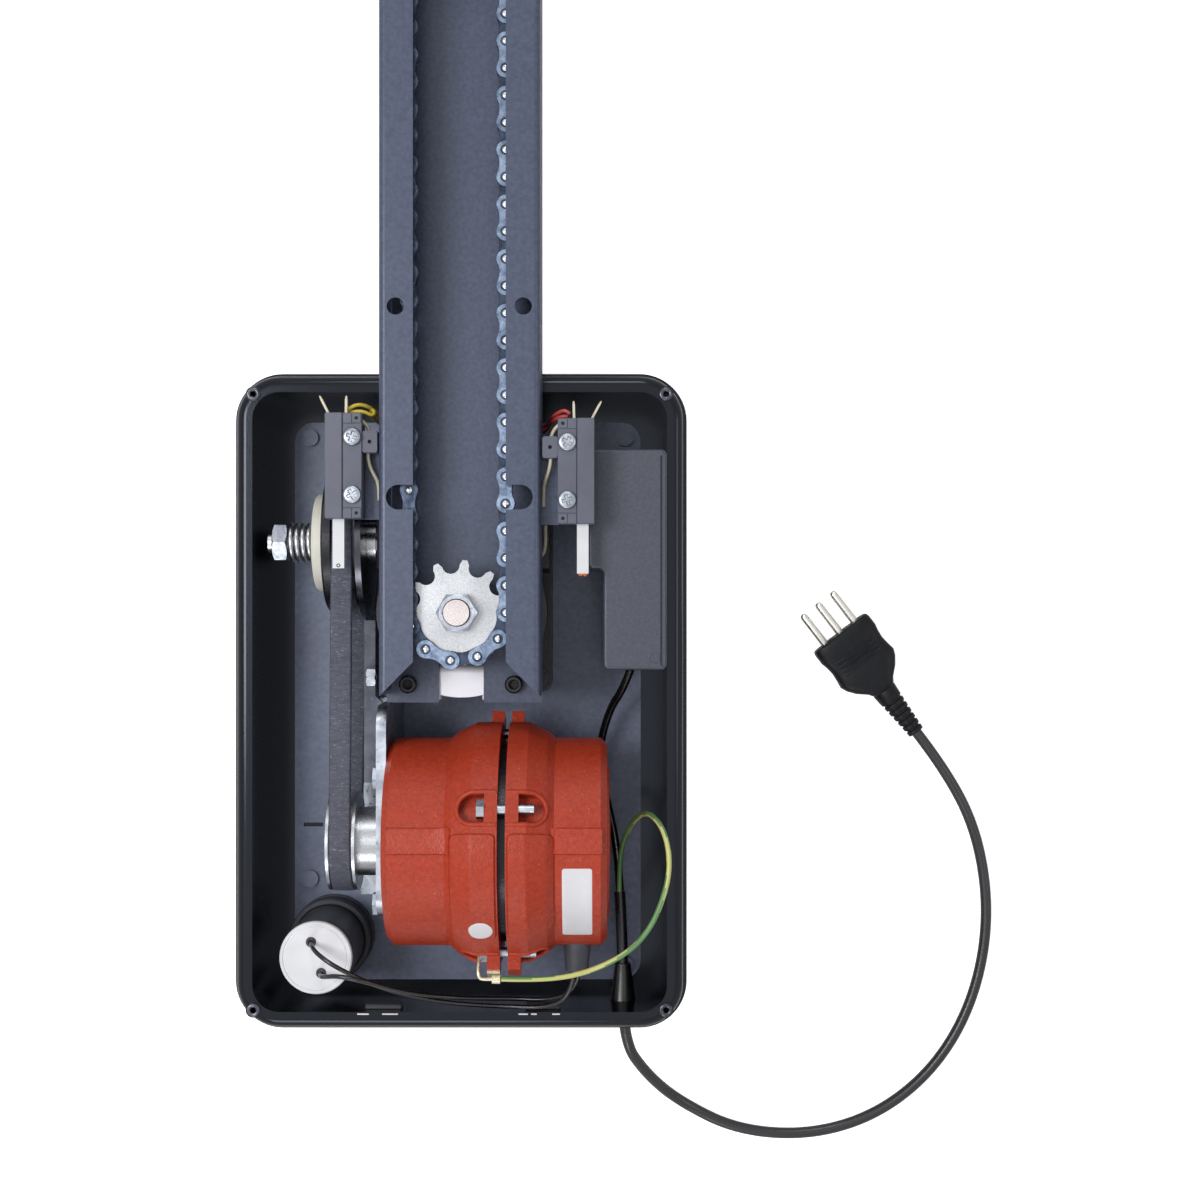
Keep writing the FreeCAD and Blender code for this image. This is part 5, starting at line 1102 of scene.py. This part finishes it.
def limit_switch(side_name, side, lean):
    """Case and terminals of one switch; gives the places of its screws."""
    node = "limit_switch_" + side_name
    low, high = box(node)
    z0, z1 = low.z, high.z
    y0, y1 = low.y, high.y - TERMINAL_REACH
    mid_x = (low.x + high.x) / 2
    step_z = z1 - SWITCH_STEP
    lid_z = step_z - SWITCH_LID
    screw_x = mid_x - side * SCREW_FROM_MIDDLE
    seam_x = screw_x + side * SEAM_FROM_SCREW
    lever_x = mid_x + side * LEVER_FROM_MIDDLE
    inner_edge, outer_edge = (high.x, low.x) if side < 0 else (low.x, high.x)
    slot_low, slot_high, slot_end = z0 + SLOT_LOW, z0 + SLOT_HIGH, y0 + SLOT_LONG
    case = Shape()

    def block(xa, xb, ya, yb, corner, bottom, top, bevel):
        case.slab(round_rect(*sorted((xa, xb)), ya, yb, corner), bottom, top, bevel)

    block(inner_edge, outer_edge, y0, y1, 0.8, z0, slot_low, 0.25)
    block(inner_edge, outer_edge, slot_end, y1, 0.8, slot_low, slot_high, 0.1)
    block(lever_x - side * SLOT_HALF, inner_edge, y0, slot_end + 1, 0.5, slot_low, slot_high, 0.1)
    guide_x = lever_x + side * SLOT_HALF
    if abs(guide_x - outer_edge) > LEAST_GUIDE:
        block(guide_x, outer_edge, y0, slot_end + 1, 0.25, slot_low, slot_high, 0.1)
    block(inner_edge, outer_edge, y0, y1, 0.8, slot_high, lid_z, 0.25)
    block(outer_edge, seam_x + side * SEAM_HALF, y0, y1, 0.6, lid_z, z1, 0.22)
    inner_seam = seam_x - side * SEAM_HALF
    block(inner_edge, inner_seam, y0 + RECESS_FROM_END, y1 - RECESS_FROM_END, 0.4, lid_z, step_z, 0.18)
    eyelet_x = inner_edge + side * EYELET_IN
    for y in (y0 + EYELET_FROM_END, y1 - EYELET_FROM_END):
        case.eyelet_block(eyelet_x, y, EYELET_HALF, EYELET_HALF, EYELET_R, lid_z, step_z + 0.3, step_z - 0.4)
        block(eyelet_x + side * (EYELET_HALF + 0.2), inner_seam, y - 2.4, y + 2.3, 0.3, lid_z, step_z, 0.15)
    tab_y = y1 - TAB_FROM_END
    tab_ends = (inner_edge - side * 0.05, inner_edge - side * TAB_REACH)
    tab_x = sum(tab_ends) / 2
    tab_top = step_z - 1
    tab_low = step_z - 3
    block(*tab_ends, tab_y - TAB_HALF, tab_y + TAB_HALF, 0.5, z0, tab_low, 0.2)
    tab_half_x = abs(tab_ends[1] - tab_ends[0]) / 2
    case.eyelet_block(tab_x, tab_y, tab_half_x, TAB_HALF, TAB_HOLE_R, tab_low, tab_top, step_z - 2.6)
    case.make(node + "_case", [SWITCH, HOLLOW_SHADE_AND_JOINT], "switch_plastic", [node])

    blades = Shape()
    for offset, tilt in ((-TERMINAL_OFFSET, lean[0]), (TERMINAL_OFFSET, lean[1])):
        foot = Vector((lever_x + offset, y1 - 0.5, z1 - 4.5))
        tip = Vector((foot.x + tilt, y1 + TERMINAL_REACH, foot.z + 0.6))
        rings = []
        for place, size in ((foot, 1.0), (foot.lerp(tip, 0.8), 1.0), (tip, TERMINAL_TIP)):
            wide = X * TERMINAL_HALF[0] * size
            tall = Z * TERMINAL_HALF[1] * size
            rings.append([place - wide - tall, place + wide - tall, place + wide + tall, place - wide + tall])
        blades.loft(rings)
    blades.make(node + "_terminals", [CREAM], "switch_plastic", angle=20)
    return [Vector((screw_x, y0 + SCREW_FIRST + SCREW_SPACING * i, step_z)) for i in range(2)]


screw_places = limit_switch("left", -1, (-4.2, 0.2)) + limit_switch("right", 1, (-0.2, 4.6))
screws = Shape()
for index, place in enumerate(screw_places):
    cross_screw(screws, place, SCREW_FIRST_TURN + SCREW_TURN_STEP * index)
    screws.lathe(place, Z, SCREW_SHANK, 24)
screws.make("limit_switch_screws_cross", [ZINC], "zinc_steel", ["limit_switch_screws"])

# switch wires that dip beside the rail and run along its underside
WIRE_R = 0.85
SWITCH_WIRES = [
    ("switch_wires_left_yellow", YELLOW, [
        [(-50.6, 137, 90.5), (-48.5, 139.2, 90.8), (-44, 140.6, 90), (-39.5, 139.2, 86), (-38, 137.5, 76),
         (-37.6, 136, 66), (-35, 134.5, 60.9), (-24, 133, 60.9), (-8, 132, 60.9)],
        [(-50.2, 136.6, 89), (-47, 137.2, 89.4), (-42.5, 137.2, 89.2), (-39.2, 135.4, 88.4),
         (-37.6, 136.6, 87.2), (-39, 138.6, 85), (-40.6, 136.8, 80), (-39, 134.5, 70), (-36, 132.5, 61),
         (-24, 131, 60.9), (-8, 130, 60.9)],
    ]),
    ("switch_wire_left_cream", CREAM, [
        [(-44.2, 133.6, 91), (-42, 131.6, 90.8), (-40.2, 129.4, 89.4), (-39.6, 126.5, 88)],
        [(-40.6, 119, 89), (-40.6, 115.6, 89), (-39.8, 111.6, 88.4), (-38.2, 108.2, 87), (-36.6, 105, 85.2),
         (-36.1, 101, 84), (-36, 96, 83.9)],
    ]),
    ("switch_wires_right_red", RED, [
        [(53.5, 136, 90.5), (51.5, 138, 91), (47.5, 136.4, 88), (44.6, 134.8, 80), (43.2, 133.4, 68),
         (40, 132, 60.9), (26, 131, 60.9), (12, 130, 60.9)],
        [(52.5, 134.8, 89), (50, 135.2, 89.4), (46, 133.6, 85), (43.8, 132, 76), (42.6, 130.6, 66),
         (39, 129.4, 60.9), (26, 128.6, 60.9), (12, 128, 60.9)],
    ]),
    ("switch_wire_right_cream", CREAM, [
        [(49.6, 131.6, 91), (47.4, 129.8, 90.8), (45.6, 127.4, 89.4), (44.6, 124.2, 88)],
        [(44.8, 116.4, 89), (44.6, 113, 89), (43.6, 109, 88.4), (42.2, 105.4, 87), (41.4, 102, 85.2),
         (41.3, 98, 84), (41.2, 93, 83.9)],
        [(41.6, 87, 70), (41.6, 83, 67), (41.6, 76, 65.5), (40.6, 71, 61.4), (36, 68, 60.9), (26, 66, 60.9)],
    ]),
]
for name, look, routes in SWITCH_WIRES:
    spline(name, routes, WIRE_R, look)

# socket-head screws at the rail's near end
SOCKET_R = 2.1
SOCKET_DEPTH = 2.4
HEAD_THICK = 5.0
HEAD_EDGE = 0.7
THREAD_R = 2.5
low, high = box("rail_screws")
head_r = (high.y - low.y) / 2
thread_end = low.z - high.z
head_profile = [
    (thread_end, 1.0), (thread_end, THREAD_R), (-HEAD_THICK, THREAD_R), (-HEAD_THICK, head_r),
    (-HEAD_EDGE, head_r), (0, head_r - HEAD_EDGE), (0, SOCKET_R + 0.35), (-0.35, SOCKET_R),
    (-SOCKET_DEPTH, SOCKET_R),
]
heads = Shape()
for x in (low.x + head_r, high.x - head_r):
    heads.lathe(Vector((x, (low.y + high.y) / 2, high.z)), Z, head_profile, 36)
    # socket floor takes the second look: painted shade
    heads.marks[-1] = 1
heads.make("rail_screws_socket", [BLACK_STEEL, HOLLOW_SHADE_AND_JOINT], "black_steel", ["rail_screws"], angle=25)

# worn copper tip of the right lever and the eye at the left lever's end, near-black as painted shade of its
# hole
TIP_OUTLINE = [(4.9, 0.3), (4.7, -0.8), (3.6, -1.5), (2.6, -0.7), (1.9, -1.3), (0.7, -0.9), (0.5, 0.3)]
EYE_FROM_END = 1.3
EYE_PROFILE = [(-0.3, 0.3), (-0.3, 0.95), (0.18, 0.9), (0.18, 0.55), (-0.1, 0.45), (-0.1, 0.1)]
low, high = box("switch_lever_right")
tip = Shape()
tip.slab([(low.x + x, low.y + y) for x, y in TIP_OUTLINE], low.z + 0.6, high.z - 0.4, 0.15)
tip.make("lever_right_tip", [COPPER], "white_plastic", angle=30, body="lever_right")
low, high = box("switch_lever_left")
eye = Shape()
eye.lathe(Vector(((low.x + high.x) / 2, low.y + EYE_FROM_END, high.z)), Z, EYE_PROFILE, 20)
eye.make("lever_left_eye", [HOLLOW_SHADE_AND_JOINT], "white_plastic", body="lever_left")

# control box lid: lip along its outer edge with a joint beside it, boss of the lid screw
LIP_EDGES = (-2.4, -0.5)
JOINT_EDGES = (-3.1, -2.45)
LID_BOSS = (-6.1, 5.7)
LID_BOSS_PROFILE = [(-0.3, 1.7), (-0.3, 2.9), (0.15, 2.8), (0.35, 2.5), (0.35, 2.1), (0.15, 1.8)]
low, high = box("control_box_lid")
lip_near, lip_far = low.y + 2, high.y - 3
lip = Shape()
lip.slab(round_rect(high.x + LIP_EDGES[0], high.x + LIP_EDGES[1], lip_near, lip_far, 0.6),
         high.z - 0.6, high.z + 0.7, 0.3)
lip.slab(round_rect(high.x + JOINT_EDGES[0], high.x + JOINT_EDGES[1], lip_near, lip_far, 0.2),
         high.z - 0.4, high.z + 0.06, 0.05, 1)
lip.lathe(Vector((high.x + LID_BOSS[0], low.y + LID_BOSS[1], high.z)), Z, LID_BOSS_PROFILE, 32, closed=True)
lip.make("control_box_lid_lip", [BOXED, HOLLOW_SHADE_AND_JOINT], "black_plastic")

# tray fittings: rings at the cover holes, catches on the near wall
HOLE_X = 99.5
HOLE_Y = 148.5
HOLE_RING_PROFILE = [(-0.3, 1.5), (-0.3, 3.2), (0.25, 3.1), (0.5, 2.7), (0.5, 2.0), (0.2, 1.5)]
WALL_Y = -149.5
LEDGE_ENDS = [(-46.5, -28.7), (31.5, 48.4)]
LEDGE_LEVELS = (46, 53.5)
CATCH_ENDS = [(-49.4, -43.7), (-37.4, -29.7), (28.4, 33.0), (34.4, 37.3), (44.6, 48.4)]
_, tray_high = box("housing_tray")
rings = Shape()
for x in (-HOLE_X, HOLE_X):
    for y in (-HOLE_Y, HOLE_Y):
        rings.lathe(Vector((x, y, tray_high.z)), Z, HOLE_RING_PROFILE, 32, closed=True)
rings.make("tray_hole_rings", [DARK_STEEL], "tray_plastic")
ledges = Shape()
for x0, x1 in LEDGE_ENDS:
    ledges.slab(round_rect(x0, x1, WALL_Y - 0.2, WALL_Y + 2.2, 0.7), *LEDGE_LEVELS, 0.5)
ledges.make("tray_catch_ledges", [SLEEVE], "tray_plastic")
rib_low = tray_high.z - 0.9
rib_high = tray_high.z - 0.2
ribs = Shape()
for x0, x1 in CATCH_ENDS:
    ribs.slab(round_rect(x0, x1, WALL_Y - 1.3, WALL_Y - 0.6, 0.25), rib_low, rib_high, 0.12)
ribs.make("tray_catch_ribs", [WHITE], "white_plastic")

# floor: pale in its bounce light, white where the camera or a gloss sees it (metres from here on)
FLOOR_HALF = 4.0
FLOOR_Z = -0.0002
FLOOR_BOUNCE = (0.42, 0.42, 0.43, 1)
FLOOR_GLOW = 0.8


def greater(tree, first, second):
    """The greater of two shader values."""
    node = tree.nodes.new("ShaderNodeMath")
    node.operation = "MAXIMUM"
    tree.links.new(first, node.inputs[0])
    tree.links.new(second, node.inputs[1])
    return node.outputs["Value"]


floor_mesh = bpy.data.meshes.new("floor")
corners = ((-1, -1), (1, -1), (1, 1), (-1, 1))
floor_mesh.from_pydata([(x * FLOOR_HALF, y * FLOOR_HALF, FLOOR_Z) for x, y in corners], [], [(0, 1, 2, 3)])
floor = bpy.data.objects.new("floor", floor_mesh)
show(floor)
floor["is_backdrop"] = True
paper = bpy.data.materials.new("pale_floor")
paper.use_nodes = True
tree = paper.node_tree
rays = tree.nodes.new("ShaderNodeLightPath").outputs
seen = greater(tree, rays["Is Camera Ray"], rays["Is Glossy Ray"])
glow = shade(tree, "MapRange", {"Value": rays["Is Camera Ray"], "To Max": FLOOR_GLOW}, "Result")
feed(tree, tree.nodes["Principled BSDF"], {
    "Base Color": blend(tree, seen, FLOOR_BOUNCE, FULL),
    "Roughness": 0.9, "Specular IOR Level": 0.0, "Emission Color": FULL, "Emission Strength": glow,
})
floor_mesh.materials.append(paper)

# world: a weak fill, and white where the camera, a gloss or a see-through ray meets it
FILL_COLOUR = (0.95, 0.97, 1.0, 1)
FILL = 0.15
world = bpy.data.worlds.new("studio")
bpy.context.scene.world = world
world.use_nodes = True
tree = world.node_tree
tree.nodes.clear()
rays = tree.nodes.new("ShaderNodeLightPath").outputs
seen = greater(tree, greater(tree, rays["Is Camera Ray"], rays["Is Glossy Ray"]), rays["Is Transmission Ray"])
fill = shade(tree, "Background", {"Color": FILL_COLOUR, "Strength": FILL}, "Background")
shown = shade(tree, "Background", {"Color": FULL, "Strength": 1.0}, "Background")
choose = shade(tree, "MixShader", {0: seen, 1: fill, 2: shown}, "Shader")
feed(tree, tree.nodes.new("ShaderNodeOutputWorld"), {"Surface": choose})


def softbox(name, place, aim, size, watts):
    """Square lamp that faces one place."""
    data = bpy.data.lights.new(name, "AREA")
    data.shape = "SQUARE"
    data.size = size
    data.energy = watts
    lamp = bpy.data.objects.new(name, data)
    lamp.location = place
    lamp.rotation_euler = (Vector(place) - Vector(aim)).to_track_quat("Z", "Y").to_euler()
    lamp.visible_camera = False
    show(lamp)


AIM = (0.0, 0.05, 0)
NEAR_AIM = (0.0, -0.05, 0)
softbox("softbox_above", (-0.35, 0.0, 1.9), AIM, 2.4, 7)
softbox("softbox_left", (-0.8, 0.15, 1.65), AIM, 0.6, 15)
softbox("softbox_right", (1.45, 0.1, 1.25), AIM, 0.6, 3)
softbox("softbox_far", (0.0, 1.7, 1.3), AIM, 0.6, 7)
softbox("softbox_near", (-0.3, -1.5, 1.2), NEAR_AIM, 0.6, 7)

low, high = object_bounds()
